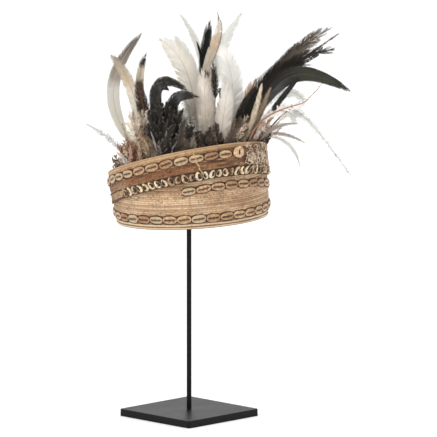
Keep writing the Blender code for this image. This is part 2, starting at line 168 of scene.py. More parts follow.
class Heap:  # grids that become one mesh, with marks kept at each point
    vectorMarks = ("place", "tint")

    def __init__(self, *markNames):
        self.points = []
        self.quads = []
        self.ends = []
        self.marks = {name: [] for name in markNames}
        self.bake = []
        self.count = 0

    def grid(self, points, wrapAcross=False, wrapAlong=False, capped=False, bakeBox=None, **marks):
        # points is along x across x 3, or grids x along x across x 3; a mark left out is 0
        if points.ndim == 3:
            points = points[None]
        shape = points.shape[:3]
        index = self.count + np.arange(math.prod(shape)).reshape(shape)
        self.count += index.size
        self.points.append(points.reshape(-1, 3))
        for name, stored in self.marks.items():
            parts = (3,) if name in self.vectorMarks else ()
            stored.append(np.broadcast_to(marks.get(name, 0.0), shape + parts).reshape((-1, *parts)))
        if capped:
            self.ends += [ring[::-1] for ring in index[:, 0].tolist()]
            self.ends += index[:, -1].tolist()
        if wrapAcross:
            index = np.concatenate([index, index[:, :, :1]], 2)
        if wrapAlong:
            index = np.concatenate([index, index[:, :1]], 1)
        self.quads.append(quadCorners(index).reshape(-1, 4))
        if bakeBox:
            self.bake.append(bakeMap(index.shape, bakeBox))

    def piece(self, name, finish, slot, *nodes, weld=False):
        mesh = bpy.data.meshes.new(name)
        faces = np.concatenate(self.quads).tolist() + self.ends
        mesh.from_pydata(np.concatenate(self.points).tolist(), [], faces)
        for mark, stored in self.marks.items():
            kind, part = ("FLOAT_VECTOR", "vector") if mark in self.vectorMarks else ("FLOAT", "value")
            values = np.concatenate(stored).ravel().astype(np.float32)
            mesh.attributes.new(mark, kind, "POINT").data.foreach_set(part, values)
        if self.bake:
            layer = mesh.uv_layers.new(name="OFBake")
            places = np.concatenate(self.bake + [np.zeros((sum(map(len, self.ends)), 2))])
            layer.data.foreach_set("uv", places.ravel().astype(np.float32))
        mesh.materials.append(finish.material)
        mesh.shade_smooth()
        if weld:
            weldMesh(mesh)
        made = bpy.data.objects.new(name, mesh)
        bpy.context.scene.collection.objects.link(made)
        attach(made, "root")
        if nodes:
            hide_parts(*nodes)


def weldMesh(mesh):
    work = bmesh.new()
    work.from_mesh(mesh)
    bmesh.ops.remove_doubles(work, verts=work.verts, dist=1e-6)
    bmesh.ops.recalc_face_normals(work, faces=work.faces)
    work.to_mesh(mesh)
    work.free()


def unit(vectors):
    return vectors / np.maximum(np.linalg.norm(vectors, axis=-1, keepdims=True), 1e-12)


def fullTurn(count):
    return np.linspace(0, 2 * math.pi, count, endpoint=False)


def ease(share):
    return share * share * (3 - 2 * share)


def hump(value, middle, wide):  # 1 at the middle, falling away on both sides
    return np.exp(-((value - middle) / wide) ** 2)


def smoothNoise(rng, count, knots, around):  # a wandering line of values from -1 to 1
    heights = rng.uniform(-1, 1, knots + 1)
    if around:
        heights[-1] = heights[0]
    place = np.linspace(0, knots, count, endpoint=not around)
    low = np.minimum(place.astype(int), knots - 1)
    part = ease(place - low)
    return heights[low] * (1 - part) + heights[low + 1] * part


def tube(heap, path, radius, sides, closed=False):
    if closed:
        ahead = unit(np.roll(path, -1, 0) - np.roll(path, 1, 0))
    else:
        ahead = unit(np.gradient(path, axis=0))
    side = np.array([0.0, 0.0, 1.0] if abs(ahead[0][2]) < 0.9 else [1.0, 0.0, 0.0])
    across = []
    for direction in ahead:
        side = side - direction * (side @ direction)
        side = side / max(np.linalg.norm(side), 1e-12)
        across.append(side)
    across = np.array(across)
    other = np.cross(ahead, across)
    turn = fullTurn(sides)[None, :, None]
    spread = np.cos(turn) * across[:, None] + np.sin(turn) * other[:, None]
    heap.grid(path[:, None] + spread * radius, wrapAcross=True, wrapAlong=closed, capped=not closed)


# The hat's own levels and radii, as the solids have them

hat = {
    "hemHeight": 0.245, "hemRiseRight": 0.057, "hemRiseFront": 0.020,
    "rimHeight": 0.3215, "rimRiseRight": 0.190, "rimRiseFront": 0.275, "rimRiseBack": 0.100,
    "rimTurnover": 0.020, "crownDrop": 0.025, "crownThick": 0.003,
    "hemRadius": 0.0920, "waistRadius": 0.0950, "waistRise": 0.030, "rimRadius": 0.0980,
    "hemShift": 0.0045, "rimShift": -0.0016, "wall": 0.0033, "gap": 0.0003,
    "upperBandDepth": 0.041,
    "slimRight": 0.0024, "slimLeft": 0.0030,  # how much closer the worn upper band lies at its sides
}
hat["upperRadius"] = hat["waistRadius"] + hat["gap"] + hat["wall"]
hat["crownRadius"] = hat["waistRadius"]
hat["rimRise"] = (hat["rimRiseFront"] + hat["rimRiseBack"]) / 2
hat["rimBend"] = (hat["rimRiseFront"] - hat["rimRiseBack"]) / 2


def hemLevel(x, y):
    return hat["hemHeight"] + hat["hemRiseRight"] * x - hat["hemRiseFront"] * y


def rimLevel(x, y):
    fold = np.hypot(y, hat["rimTurnover"]) - hat["rimTurnover"]
    return hat["rimHeight"] + hat["rimRiseRight"] * x - hat["rimRise"] * y + hat["rimBend"] * fold


def crownLevel(x, y):
    return hat["rimHeight"] - hat["crownDrop"] + hat["rimRiseRight"] * x - hat["rimRise"] * y


def crownTop(x, y):
    return crownLevel(x, y) + hat["gap"] + hat["crownThick"]


def raised(level, rise):  # rise is one number, or one for each point
    return lambda x, y: level(x, y) + rise


def axisX(z):
    share = (z - hat["hemHeight"]) / (hat["rimHeight"] - hat["hemHeight"])
    return hat["hemShift"] + (hat["rimShift"] - hat["hemShift"]) * share


def onHat(angle, radius, level):  # angle runs from the front to the right
    x = radius * np.sin(angle)
    y = -radius * np.cos(angle)
    for _ in range(4):
        x = axisX(level(x, y)) + radius * np.sin(angle)
    z = level(x, y)
    return np.stack(np.broadcast_arrays(x, y, z), -1)


def lowerRadius(rise):
    share = np.clip(rise / hat["waistRise"], 0, 1)
    return hat["waistRadius"] - (hat["waistRadius"] - hat["hemRadius"]) * (1 - share) ** 2


def upperRadius(drop):
    share = np.clip(1 - drop / hat["crownDrop"], 0, 1)
    return hat["upperRadius"] + (hat["rimRadius"] - hat["upperRadius"]) * share


def slimmed(angle, drop):  # the worn band lies closer at the right, and low down at the left
    right = np.clip(np.sin(angle) * 2.2 - 1.2, 0, 1) * hat["slimRight"]
    low = np.clip(drop / hat["upperBandDepth"] * 2.0 - 0.9, 0, 1)
    left = np.clip(-np.sin(angle) * 4.0 - 3.0, 0, 1) * hat["slimLeft"]
    return right + left * low


def onLower(angle, level, proud=0.0):
    spot = onHat(angle, hat["waistRadius"] + 0 * angle, level)
    for _ in range(3):
        rise = spot[..., 2] - hemLevel(spot[..., 0], spot[..., 1])
        spot = onHat(angle, lowerRadius(rise) + proud, level)
    return spot


def onUpper(angle, level, proud=0.0):
    spot = onHat(angle, hat["upperRadius"] + 0 * angle, level)
    for _ in range(3):
        drop = rimLevel(spot[..., 0], spot[..., 1]) - spot[..., 2]
        spot = onHat(angle, upperRadius(drop) - slimmed(angle, drop) + proud, level)
    return spot


def surfaceFrame(onBand, angle, level):
    # (point, outward, along, up) at each angle
    step = 0.01
    lift = 0.004
    point = onBand(angle, level)
    along = unit(onBand(angle + step, level) - onBand(angle - step, level))
    up = onBand(angle, raised(level, lift)) - onBand(angle, raised(level, -lift))
    outward = unit(np.cross(along, up))
    return point, outward, along, np.cross(outward, along)


# Camera, light and floor

view = {
    "lookAt": (0.0359, 0.0, 0.2446),
    "distance": 20.0,
    "elevation": 10.0,
    "frameWidth": 0.5323,  # metres across the picture at the object
    "sensor": 36.0,
}


def makeCamera():
    data = bpy.data.cameras.new("photoCamera")
    data.sensor_width = view["sensor"]
    data.lens = view["sensor"] * view["distance"] / view["frameWidth"]
    camera = bpy.data.objects.new("photoCamera", data)
    tilt = math.radians(view["elevation"])
    x, y, z = view["lookAt"]
    away = view["distance"]
    camera.location = (x, y - away * math.cos(tilt), z + away * math.sin(tilt))
    camera.rotation_euler = (math.pi / 2 - tilt, 0, 0)
    bpy.context.scene.collection.objects.link(camera)
    bpy.context.scene.camera = camera


studio = {
    "worldStrength": 1.02,
    "floorColours": ((252, 252, 251), (254, 254, 254)),
    "floorSide": 14.0,
    "aimAt": (0.02, 0.0, 0.32),
    # name, place, size, power, all aimed at the hat
    "lights": (
        ("keyLight", (-1.5, -2.2, 2.4), 1.1, 46.0),
        ("fillLight", (2.4, -1.8, 1.5), 2.0, 8.0),
        ("backLight", (0.6, 2.4, 2.2), 1.8, 14.0),
    ),
}


def makeStudio():
    world = bpy.data.worlds.new("studio")
    world.use_nodes = True
    background = world.node_tree.nodes["Background"]
    background.inputs["Color"].default_value = (1, 1, 1, 1)
    background.inputs["Strength"].default_value = studio["worldStrength"]
    bpy.context.scene.world = world
    bpy.context.scene.view_settings.view_transform = "Standard"

    floorFinish = Finish("floorPaint", Roughness=0.9)
    grain = floorFinish.noise(floorFinish.position(), 3.0, 2.0, 0.55)
    colours = [tone(*colour) for colour in studio["floorColours"]]
    floorFinish.feed("Base Color", floorFinish.mix(grain, *colours))
    half = studio["floorSide"] / 2
    corners = [(-half, -half, 0), (half, -half, 0), (half, half, 0), (-half, half, 0)]
    mesh = bpy.data.meshes.new("floor")
    mesh.from_pydata(corners, [], [(0, 1, 2, 3)])
    mesh.materials.append(floorFinish.material)
    floor = bpy.data.objects.new("floor", mesh)
    bpy.context.scene.collection.objects.link(floor)

    target = np.array(studio["aimAt"])
    for name, place, size, power in studio["lights"]:
        data = bpy.data.lights.new(name, "AREA")
        data.size = size
        data.energy = power
        light = bpy.data.objects.new(name, data)
        light.location = place
        aim = target - np.array(place)
        flat = math.hypot(aim[0], aim[1])
        light.rotation_euler = (math.atan2(flat, -aim[2]), 0, math.atan2(aim[1], aim[0]) - math.pi / 2)
        bpy.context.scene.collection.objects.link(light)


makeCamera()
makeStudio()
print("camera, light and floor are up")


# Stand

stand = {"paint": (6, 6, 7), "worn": (26, 26, 26), "roughness": 0.28}


def finishStand():
    finish = Finish("satinBlackPaint", Specular_IOR_Level=0.16)
    paint, worn = tones(stand, "paint", "worn")
    where = finish.position()
    speckle = finish.noise(where, 2600.0, 2.0, 0.6)
    cloud = finish.noise(where, 26.0, 4.0, 0.6)
    wear = finish.noise(where, 190.0, 5.0, 0.7).between(0.66, 0.80)
    colour = finish.mix(wear * 0.5, paint, worn)
    finish.feed("Base Color", finish.shade(colour, cloud * 0.3 + 0.85))
    finish.feed("Roughness", cloud * 0.16 + speckle * 0.08 + stand["roughness"])
    finish.bump(speckle * 0.8 + cloud * 0.2, 0.00012, 0.5)
    for node in ("base_plate", "post"):
        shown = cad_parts[node]
        for holder in shown.material_slots:
            holder.material = finish.material


finishStand()
print("stand is painted")


# Wound bands

lowerBand = {
    "cordPitch": 0.0026, "samples": 5, "turns": 360,  # samples are points up each cord
    "hemPitch": 0.0037, "hemCords": 2,  # the thicker cords at the hem
    "highest": 0.082,  # the cords go on to here above the hem, and are cut off at the crown
    "innerLines": 34, "ripple": 0.0004,  # points down the wall's inner side, and how rough it is
    "depth": 0.00085, "sunk": 0.85,  # how deep the valleys are, and the share below the solid's surface
    "wander": 0.00035, "strayKnots": 26,  # how far a cord strays up and down
    "swell": 0.00012, "swellKnots": 60,
    "beadRise": 0.0024, "beadWide": 0.0022, "bead": 0.0006,  # the hem stands proud
    # The next three are painted shade: in the grooves above the hem cords, along the bottom and at the inner
    # side's bottom
    "grooveShade": 0.75, "hemDark": (0.95, 0.5), "insideShade": 0.8, "edge": 0.8,
    "pale": (210, 180, 146), "tan": (176, 142, 108), "dark": (74, 50, 32), "stain": (128, 94, 64),
    "hem": (204, 178, 146),
    "patchy": 0.40, "streaky": 0.55, "knotty": 0.50,  # shares of the stains and the dark string
}
upperBand = {
    "cordPitch": 0.0027, "samples": 5, "turns": 360,
    "innerLines": 22, "ripple": 0.0005, "innerInset": 0.0002,  # keeps its inner side off the lower band
    "depth": 0.00090, "sunk": 0.85,
    "wander": 0.00060, "strayKnots": 22, "steadyPoints": 3,  # its two edges don't stray
    "swell": 0.00022, "swellKnots": 70,
    "rollDrop": 0.0018, "roll": 0.0007,  # the rim stands proud
    # Painted shade is set on the lowest cords, and the darkening of painted shade and stains together is
    # capped
    "edge": 0.6, "edgeCords": 2, "hemDark": 0.55, "mostDark": 0.8,
    # The string patch and the blots: middle and reach in degrees, how wide the full part is, and
    # how far down from the rim they go
    "patch": (70, 20, 1.4, 0.033), "patchDark": 0.5,
    "blots": (45, 28, 1.7, 0.032), "blotKnots": 56, "blotDark": 0.6, "blotFade": 0.012,
    # The line below the cowries is a painted shadow
    "lineDrop": 0.0205, "lineWide": 0.0016, "lineKnots": 30,  # the dark line below the cowries
    "pale": (182, 148, 110), "tan": (130, 95, 64), "dark": (50, 30, 17), "stain": (134, 78, 48),
    "hem": (200, 166, 126),
    "patchy": 0.60, "streaky": 0.75, "knotty": 0.65,
}
crown = {
    "cordPitch": 0.0031, "samples": 4, "turns": 200,
    "depth": 0.0006, "sunk": 0.9,
    "swell": 0.0002, "swellKnots": 40,
    "underShares": (1.0, 0.6, 0.02), "clearance": 0.0004,
    "pale": (170, 134, 96), "tan": (138, 102, 70), "dark": (66, 46, 32), "stain": (112, 76, 50),
    "hem": (120, 90, 64),
    "patchy": 0.5, "streaky": 0.5, "knotty": 0.5,
}


def fibreFinish(name, look, seed):
    # place holds metres along the cord, the cord's number and the share of the way up it
    fibre = Finish(name, Roughness=0.86, Sheen_Weight=0.12, Sheen_Roughness=0.5, Specular_IOR_Level=0.25)
    pale, tan, dark, stain, hem = tones(look, "pale", "tan", "dark", "stain", "hem")
    place = fibre.mark("place", "Vector")
    run, cord, upCord = (fibre.add("ShaderNodeSeparateXYZ", {}, {0: place}, out) for out in range(3))
    number = cord.math("FLOOR")
    perCord = fibre.add("ShaderNodeTexWhiteNoise", {"noise_dimensions": "1D"}, {"W": number + seed}, "Value")
    # Twisted strands, knots of the looped string, and streaks that run on along a cord
    strand = (run * 360.0 + upCord * 1.1 + perCord * 7.0).wave()
    knots = fibre.noise(fibre.stretch(place, (380.0, 0.9, 0.4)), 1.0, 3.0, 0.6)
    streaks = fibre.noise(fibre.stretch(place, (60.0, 1.1, 0.0)), 1.0, 4.0, 0.65)
    patch = fibre.noise(fibre.stretch(place, (16.0, 0.14, 0.0)), 1.0, 4.0, 0.6)
    blotch = fibre.noise(fibre.position(), 52.0, 5.0, 0.65)
    grain = fibre.noise(fibre.position(), 780.0, 4.0, 0.7)
    # Painted shade: each cord darkens towards its valleys
    valleyShade = (upCord - 0.5).math("ABSOLUTE").between(0.20, 0.46)
    colour = fibre.mix(patch.between(0.36, 0.64), tan, pale)
    layers = (
        (perCord.between(0.62, 0.9) * 0.55, stain),
        (blotch.between(0.52, 0.68) * look["patchy"], stain),
        (streaks.between(0.54, 0.70) * look["streaky"], dark),
        (knots.between(0.53, 0.66) * look["knotty"], dark),
        (fibre.mark("edge"), hem),
        (valleyShade * 0.72, dark),
        # Painted shade and stains kept on the mesh
        (fibre.mark("grime"), dark),
    )
    for share, layer in layers:
        colour = fibre.mix(share, colour, layer)
    fibre.feed("Base Color", fibre.shade(colour, grain * 1.5 + strand * 0.18 + 0.16))
    fibre.bump(strand * 0.4 + grain * 0.8 + knots * 0.8, 0.0005, 0.8)
    return fibre


def cordRows(look, cords):  # each point's cord, its share of the way up it and how proud it stands
    share = (np.arange(look["samples"]) + 0.5) / look["samples"]
    proud = np.sqrt(np.clip(1 - (2 * share - 1) ** 2, 0, 1))
    number = np.repeat(np.arange(cords), look["samples"])
    return number[None], np.tile(share, cords)[None], np.tile(proud, cords)[None]


def cordNoise(rng, look, cords, knots):  # one wandering line for each cord
    lines = np.array([smoothNoise(rng, look["turns"], knots, True) for _ in range(cords)])
    return np.repeat(lines.T, look["samples"], 1)


def cordRelief(rng, look, cords, proud):
    swell = cordNoise(rng, look, cords, look["swellKnots"])
    return look["depth"] * (proud - look["sunk"]) + look["swell"] * swell


def innerCords(look, cords):  # the wall's inner side: shares from top to bottom, ripple, number, share
    lines = look["innerLines"]
    shares = np.linspace(1.0, 0.0, lines)[None]
    ripple = look["ripple"] * np.cos(shares * (lines - 1) * math.pi)
    return shares, ripple, cords + lines * (1 - shares), (lines * shares) % 1


def windPiece(name, node, slot, finish, sides, run, edge=0.0, grime=0.0):
    # each side of the wall is its points, their cords' numbers and their shares up the cord
    points, number, upCord = (np.concatenate(parts, 1) for parts in zip(*sides))
    place = [np.broadcast_to(value, points.shape[:2]) for value in (run, number, upCord)]
    heap = Heap("place", "edge", "grime")
    heap.grid(points, wrapAcross=True, wrapAlong=True, place=np.stack(place, -1), edge=edge, grime=grime)
    heap.piece(name, finish, slot, node, weld=True)


def makeLowerBand():
    look = lowerBand
    rng = np.random.default_rng(11)
    samples, hemCords = look["samples"], look["hemCords"]
    turn = fullTurn(look["turns"])[:, None]
    cords = int((look["highest"] - look["hemPitch"] * hemCords) / look["cordPitch"]) + hemCords
    pitches = np.where(np.arange(cords) < hemCords, look["hemPitch"], look["cordPitch"])
    bottoms = np.cumsum(pitches) - pitches
    number, upCord, proud = cordRows(look, cords)
    rise = bottoms[number] + upCord * pitches[number]
    stray = cordNoise(rng, look, cords, look["strayKnots"]) * look["wander"]
    offset = cordRelief(rng, look, cords, proud)
    bead = hump(rise, look["beadRise"], look["beadWide"]) * look["bead"]
    level = lambda x, y: np.minimum(hemLevel(x, y) + rise + stray * (rise > 0.002), crownLevel(x, y))
    outer = onLower(turn + 0 * rise, level, offset + bead)
    shares, ripple, innerNumber, innerUp = innerCords(look, cords)
    innerLevel = lambda x, y: hemLevel(x, y) + (crownLevel(x, y) - hemLevel(x, y)) * shares
    inner = onLower(turn + 0 * shares, innerLevel, -hat["wall"] + ripple)
    grime = np.zeros((look["turns"], rise.size + shares.size))
    edge = np.zeros(grime.shape)
    # Painted shade: dark lines in the grooves above the hem cords, at the bottom and at the inner side's
    # bottom
    for line in range(1, hemCords + 1):
        grime[:, line * samples - 1:line * samples + 1] = look["grooveShade"]
    grime[:, :2] = look["hemDark"]
    grime[:, -1] = look["insideShade"]
    edge[:, 1:hemCords * samples] = look["edge"]
    windPiece("lowerBandWound", "lower_band", "plant_fibre", fibreFinish("palePlantFibre", look, 3.7),
              ((outer, number, upCord), (inner, innerNumber, innerUp)), turn * hat["waistRadius"],
              edge, grime)


def sidePatch(turn, drop, middle, reach, full, deepest):  # 1 round the middle angle, 0 past its reach
    return np.clip(full - np.abs(np.degrees(turn) - middle) / reach, 0, 1) * (drop < deepest)


def makeUpperBand():
    look = upperBand
    rng = np.random.default_rng(12)
    top = hat["upperBandDepth"]
    turn = fullTurn(look["turns"])[:, None]
    cords = int(top / look["cordPitch"])
    number, upCord, proud = cordRows(look, cords)
    rise = (number + upCord) * top / cords
    drop = top - rise
    stray = cordNoise(rng, look, cords, look["strayKnots"]) * look["wander"]
    stray[:, :look["steadyPoints"]] = 0
    stray[:, -look["steadyPoints"]:] = 0
    offset = cordRelief(rng, look, cords, proud)
    rolled = hump(rise - top, -look["rollDrop"], look["rollDrop"]) * look["roll"]
    level = lambda x, y: rimLevel(x, y) - top + rise + stray
    outer = onUpper(turn + 0 * rise, level, offset + rolled)
    shares, ripple, innerNumber, innerUp = innerCords(look, cords)
    innerLevel = lambda x, y: rimLevel(x, y) - top + top * shares
    thinned = slimmed(turn, top * (1 - shares))
    proudInside = thinned - hat["wall"] + look["innerInset"] + ripple
    inner = onUpper(turn + 0 * shares, innerLevel, proudInside)
    # Darker where the string patch lies, in stain blots round it, and in a painted shadow line below the
    # cowries
    uneven = smoothNoise(rng, look["turns"], look["lineKnots"], True)[:, None]
    line = hump(drop, look["lineDrop"], look["lineWide"]) * (0.45 + 0.3 * uneven)
    blots = np.clip(cordNoise(rng, look, cords, look["blotKnots"]) * 2.4 - 0.5, 0, look["blotDark"])
    blots = blots * sidePatch(turn, drop, *look["blots"]) * np.clip(0.10 + drop / look["blotFade"], 0, 1)
    patch = sidePatch(turn, drop, *look["patch"]) * look["patchDark"]
    grime = np.zeros((look["turns"], rise.size + shares.size))
    edge = np.zeros(grime.shape)
    grime[:, :rise.size] = np.clip(patch + np.clip(line, 0, 1) + blots, 0, look["mostDark"])
    # Painted shade on the lowest cords, along the band's bottom edge
    grime[:, :4] = look["hemDark"]
    edge[:, (cords - look["edgeCords"]) * look["samples"]:rise.size] = look["edge"]
    windPiece("upperBandWound", "upper_band", "worn_fibre", fibreFinish("wornPlantFibre", look, 9.1),
              ((outer, number, upCord), (inner, innerNumber, innerUp)), turn * hat["upperRadius"],
              edge, grime)


def makeCrown():
    look = crown
    rng = np.random.default_rng(13)
    turn = fullTurn(look["turns"])[:, None]
    coils = int(hat["crownRadius"] / look["cordPitch"])
    number, upCord, proud = cordRows(look, coils)
    out = (number + upCord) / coils
    height = cordRelief(rng, look, coils, proud)
    limit = crownEdge(turn)
    top = onHat(turn + 0 * out, limit * out, lambda x, y: crownTop(x, y) + height)
    under = np.array(look["underShares"])[None]
    bottom = onHat(turn + 0 * under, limit * under, raised(crownLevel, hat["gap"]))
    windPiece("crownCoiled", "crown_cap", "woven_crown", fibreFinish("coiledCrownFibre", look, 5.3),
              ((top, number, upCord), (bottom, coils + 0 * under, 0.5 + 0 * under)),
              np.concatenate([turn * limit * out, turn * limit * under], 1))


def crownEdge(turn):  # the upper band's inner radius at the crown, less the clearance
    spot = onUpper(turn, crownLevel)
    drop = rimLevel(spot[..., 0], spot[..., 1]) - spot[..., 2]
    return upperRadius(drop) - hat["wall"] - hat["gap"] - crown["clearance"]


makeLowerBand()
makeUpperBand()
makeCrown()
print("bands and crown are wound")


# Shells

cowrie = {
    "pitch": 0.0187, "length": 0.0182, "tall": 0.0102, "thick": 0.0023,
    "along": 26, "across": 18,
    "slitHalf": 0.00078, "slitDeep": 0.0015, "slitEnd": 0.86, "slitFade": 0.16, "slitSlant": 0.0005,
    "teeth": 13, "lipProud": 0.0003, "toothProud": 0.00022,
    "sunk": 0.0004, "tilt": 0.11,  # how far the back sinks into the band, and how crooked they sit
    "cordRadius": 0.00055, "backing": 0.0104,  # the dark cords and strip that carry a row
    "cordSteps": 12, "cordStray": 0.0004, "taperSteps": 6,
    "pale": (196, 163, 126), "tan": (152, 117, 82), "dark": (36, 21, 12), "grey": (168, 152, 124),
    "red": (138, 92, 60), "shine": 0.30,
}


def shellFinish(name, look, seed):
    shell = Finish(name, Roughness=0.42, Specular_IOR_Level=look["shine"])
    pale, tan, dark, grey, red = tones(look, "pale", "tan", "dark", "grey", "red")
    where = shell.position()
    strand = shell.mark("strand")
    cloud = shell.noise(where, 300.0 + seed, 4.0, 0.6)
    fleck = shell.noise(where, 1500.0, 3.0, 0.6)
    colour = shell.mix(cloud.between(0.35, 0.65), tan, pale)
    layers = (
        (strand.between(0.60, 0.95) * 0.6, grey),
        ((1 - strand).between(0.60, 0.95) * 0.6, red),
        # Painted shade between the cowrie's teeth and, through the dark mark, in the slit, the small shells'
        # mouths and the disc's hole and slot
        (shell.mark("teeth").between(0.35, 0.75) * 0.55, dark),
        (shell.mark("dark"), dark),
    )
    for share, layer in layers:
        colour = shell.mix(share, colour, layer)
    shell.feed("Base Color", shell.shade(colour, fleck * 0.35 + strand * 0.16 + 0.74))
    shell.feed("Roughness", cloud * 0.25 + shell.mark("dark") * 0.35 + 0.24)
    shell.bump(cloud * 0.5 + fleck * 0.5, 0.00012, 0.5)
    return shell


def threadFinish(name, pale, dark):
    thread = Finish(name, Roughness=0.8)
    where = thread.position()
    cloud = thread.noise(where, 240.0, 4.0, 0.6)
    twist = thread.noise(where, 2200.0, 3.0, 0.6)
    colour = thread.mix(cloud.between(0.35, 0.65), tone(*dark), tone(*pale))
    thread.feed("Base Color", thread.shade(colour, twist * 0.5 + 0.75))
    thread.bump(twist, 0.00015, 0.6)
    return thread


cowrieShell = shellFinish("stainedCowrie", cowrie, 0.0)
darkThread = threadFinish("darkBindingThread", (92, 60, 38), (46, 28, 17))


def cowrieForm(look):
    # One shell: along the row, up and out from the band, with marks that paint shade into the slit and
    # between the teeth
    p = np.sin(np.linspace(-1, 1, look["along"]) * math.pi / 2) * 0.998
    p, fan = np.meshgrid(p, np.linspace(0, math.pi, look["across"]), indexing="ij")
    outline = (1 - np.abs(p) ** 2.8) ** (1 / 2.2)
    waist = outline * (1 - 0.06 * p)
    along = p * look["length"] / 2
    up = -np.cos(fan) * waist * look["tall"] / 2
    body = (np.sin(fan) ** 0.6) * look["thick"] * outline ** 0.6
    slitEnd = ease(np.clip((look["slitEnd"] - np.abs(p)) / look["slitFade"], 0, 1))
    near = np.abs(up - look["slitSlant"] * p) / look["slitHalf"]
    slit = hump(near, 0.0, 1.0) * slitEnd
    lips = hump(near, 2.1, 1.0) * slitEnd
    ridge = 0.5 + 0.5 * np.cos(p * look["teeth"] * math.pi)
    out = body + lips * (look["lipProud"] + look["toothProud"] * ridge) - slit * look["slitDeep"]
    # Two lines of points close the back
    sides = ((along[:, -1:], up[:, -1:]), (along[:, :1], up[:, :1]))
    closing = [np.stack([x, y * 0.6, 0 * y - look["sunk"]], -1) for x, y in sides]
    form = np.concatenate([np.stack([along, up, out], -1), *closing], 1)
    pad = np.zeros((look["along"], 2))
    return form, np.concatenate([slit ** 0.5, pad], 1), np.concatenate([lips * (1 - ridge), pad], 1)


def placeForm(form, seat, lift):  # local along, up and out to the hat, lift above the band
    point, outward, along, up = seat
    place = point + outward * lift
    return place + form[..., 0:1] * along + form[..., 1:2] * up + form[..., 2:3] * outward


def layStrip(heap, onBand, level, angles, rise, proud, closed):  # the dark strip that carries a row
    angles = angles[:, None] + 0 * rise
    strip = onBand(angles, raised(level, rise), proud)
    under = onBand(angles, raised(level, rise[:, ::-1]), -0.0004)
    heap.grid(np.concatenate([strip, under], 1), wrapAcross=True, wrapAlong=closed, capped=not closed)


def makeCowrieRow(name, node, onBand, level, start, end, seed):
    look = cowrie
    rng = np.random.default_rng(seed)
    sweep = math.radians(min(360, end - start))
    count = round(sweep * hat["upperRadius"] / look["pitch"])
    form, slit, teeth = cowrieForm(look)
    heap = Heap("strand", "dark", "teeth")
    for shell in range(count):
        angle = np.array(math.radians(start) + sweep * (shell + 0.5) / count)
        point, outward, along, up = surfaceFrame(onBand, angle, level)
        tilt = rng.uniform(-look["tilt"], look["tilt"])
        cos, sin = math.cos(tilt), math.sin(tilt)
        grow = np.array([rng.uniform(0.93, 1.0), rng.uniform(0.88, 1.02), rng.uniform(0.85, 1.05)])
        flip = rng.choice([-1.0, 1.0])
        local = form * grow * np.array([flip, 1.0, 1.0])
        local[..., 2] -= local[..., 0] ** 2 / (2 * hat["upperRadius"])  # the row follows the round band
        seat = (point, outward, along * cos + up * sin, up * cos - along * sin)
        heap.grid(placeForm(local, seat, 0.0002)[::int(flip)], wrapAcross=True, capped=True,
                  strand=rng.uniform(), dark=slit, teeth=teeth)
    heap.piece(name, cowrieShell, "cowrie", node)

    threads = Heap()
    whole = end - start >= 360
    steps = count * look["cordSteps"]
    angles = np.radians(start) + sweep * np.linspace(0, 1, steps, endpoint=not whole)
    wave = 2 * math.pi * np.linspace(0, count, steps, endpoint=not whole)
    dip = look["tall"] * (0.51 - 0.30 * (0.5 + 0.5 * np.cos(wave)) ** 5)
    for side in (-1, 1):  # dark cords that dip in between the shells
        stray = smoothNoise(rng, steps, count * 2, whole) * look["cordStray"]
        path = onBand(angles, raised(level, side * dip + stray), 0.0006)
        tube(threads, path, look["cordRadius"], 6, whole)
    taper = np.ones(steps)
    if not whole:
        ends = look["taperSteps"]
        taper[:ends] = np.linspace(0.05, 1, ends)
        taper[-ends:] = np.linspace(1, 0.05, ends)
    rise = np.linspace(-0.43, 0.43, 4)[None] * look["backing"] * taper[:, None]
    layStrip(threads, onBand, level, angles, rise, 0.00035, whole)
    threads.piece(name + "Thread", darkThread, "worn_fibre")


disc = {
    "around": 48, "rings": 12, "thick": 0.0030, "stretch": 1.16,
    "slotWide": 0.0022, "slotTall": 0.0062, "holeRadius": 0.0008, "holeAt": (0.0033, 0.0040),
    "holeDeep": 0.0012, "ringProud": 0.00035,
    "pale": (208, 178, 144), "tan": (180, 144, 108), "dark": (84, 52, 32), "grey": (200, 174, 142),
    "red": (180, 138, 100), "shine": 0.35,
}
rows = {
    "lowerRise": 0.013, "middleBelow": 0.0105, "middleAngles": (-6, 138),
    "upperShare": 0.317, "upperStart": -240, "smallAbove": 0.006,
    "discAngle": 39.5, "discShare": 0.293, "discRadius": 0.0070, "discGap": 0.0009,
}


def makeCowries():
    depth = hat["upperBandDepth"]
    discHalf = math.degrees((rows["discRadius"] * disc["stretch"] + rows["discGap"]) / hat["upperRadius"])
    makeCowrieRow("cowrieRowLower", "cowrie_row_lower", onLower,
                  raised(hemLevel, rows["lowerRise"]), 0, 360, 21)
    makeCowrieRow("cowrieRowMiddle", "cowrie_row_middle", onLower,
                  raised(rimLevel, -depth - rows["middleBelow"]), *rows["middleAngles"], 22)
    makeCowrieRow("cowrieRowUpper", "cowrie_row_upper", onUpper,
                  raised(rimLevel, -depth * rows["upperShare"]), rows["upperStart"],
                  rows["discAngle"] - discHalf, 23)


smallShell = {
    "pitch": 0.0085, "tall": 0.0108, "wide": 0.0088,
    "around": 22, "across": 10, "lean": 0.42, "leanStray": 0.28,
    "fat": 0.00128, "fatChange": 0.00068,  # half the lip's thickness, and how much it changes round
    "lift": 0.0006, "mouthShade": 0.92,
    "backing": 0.0100, "cordRadius": 0.0006, "cordSteps": 220, "cordKnots": 70,
    "pale": (232, 214, 182), "tan": (152, 116, 78), "dark": (24, 15, 10), "grey": (206, 196, 176),
    "red": (120, 82, 54), "shine": 0.10,
    "lostAngles": (263, 304),  # shells are missing here, at the left
}


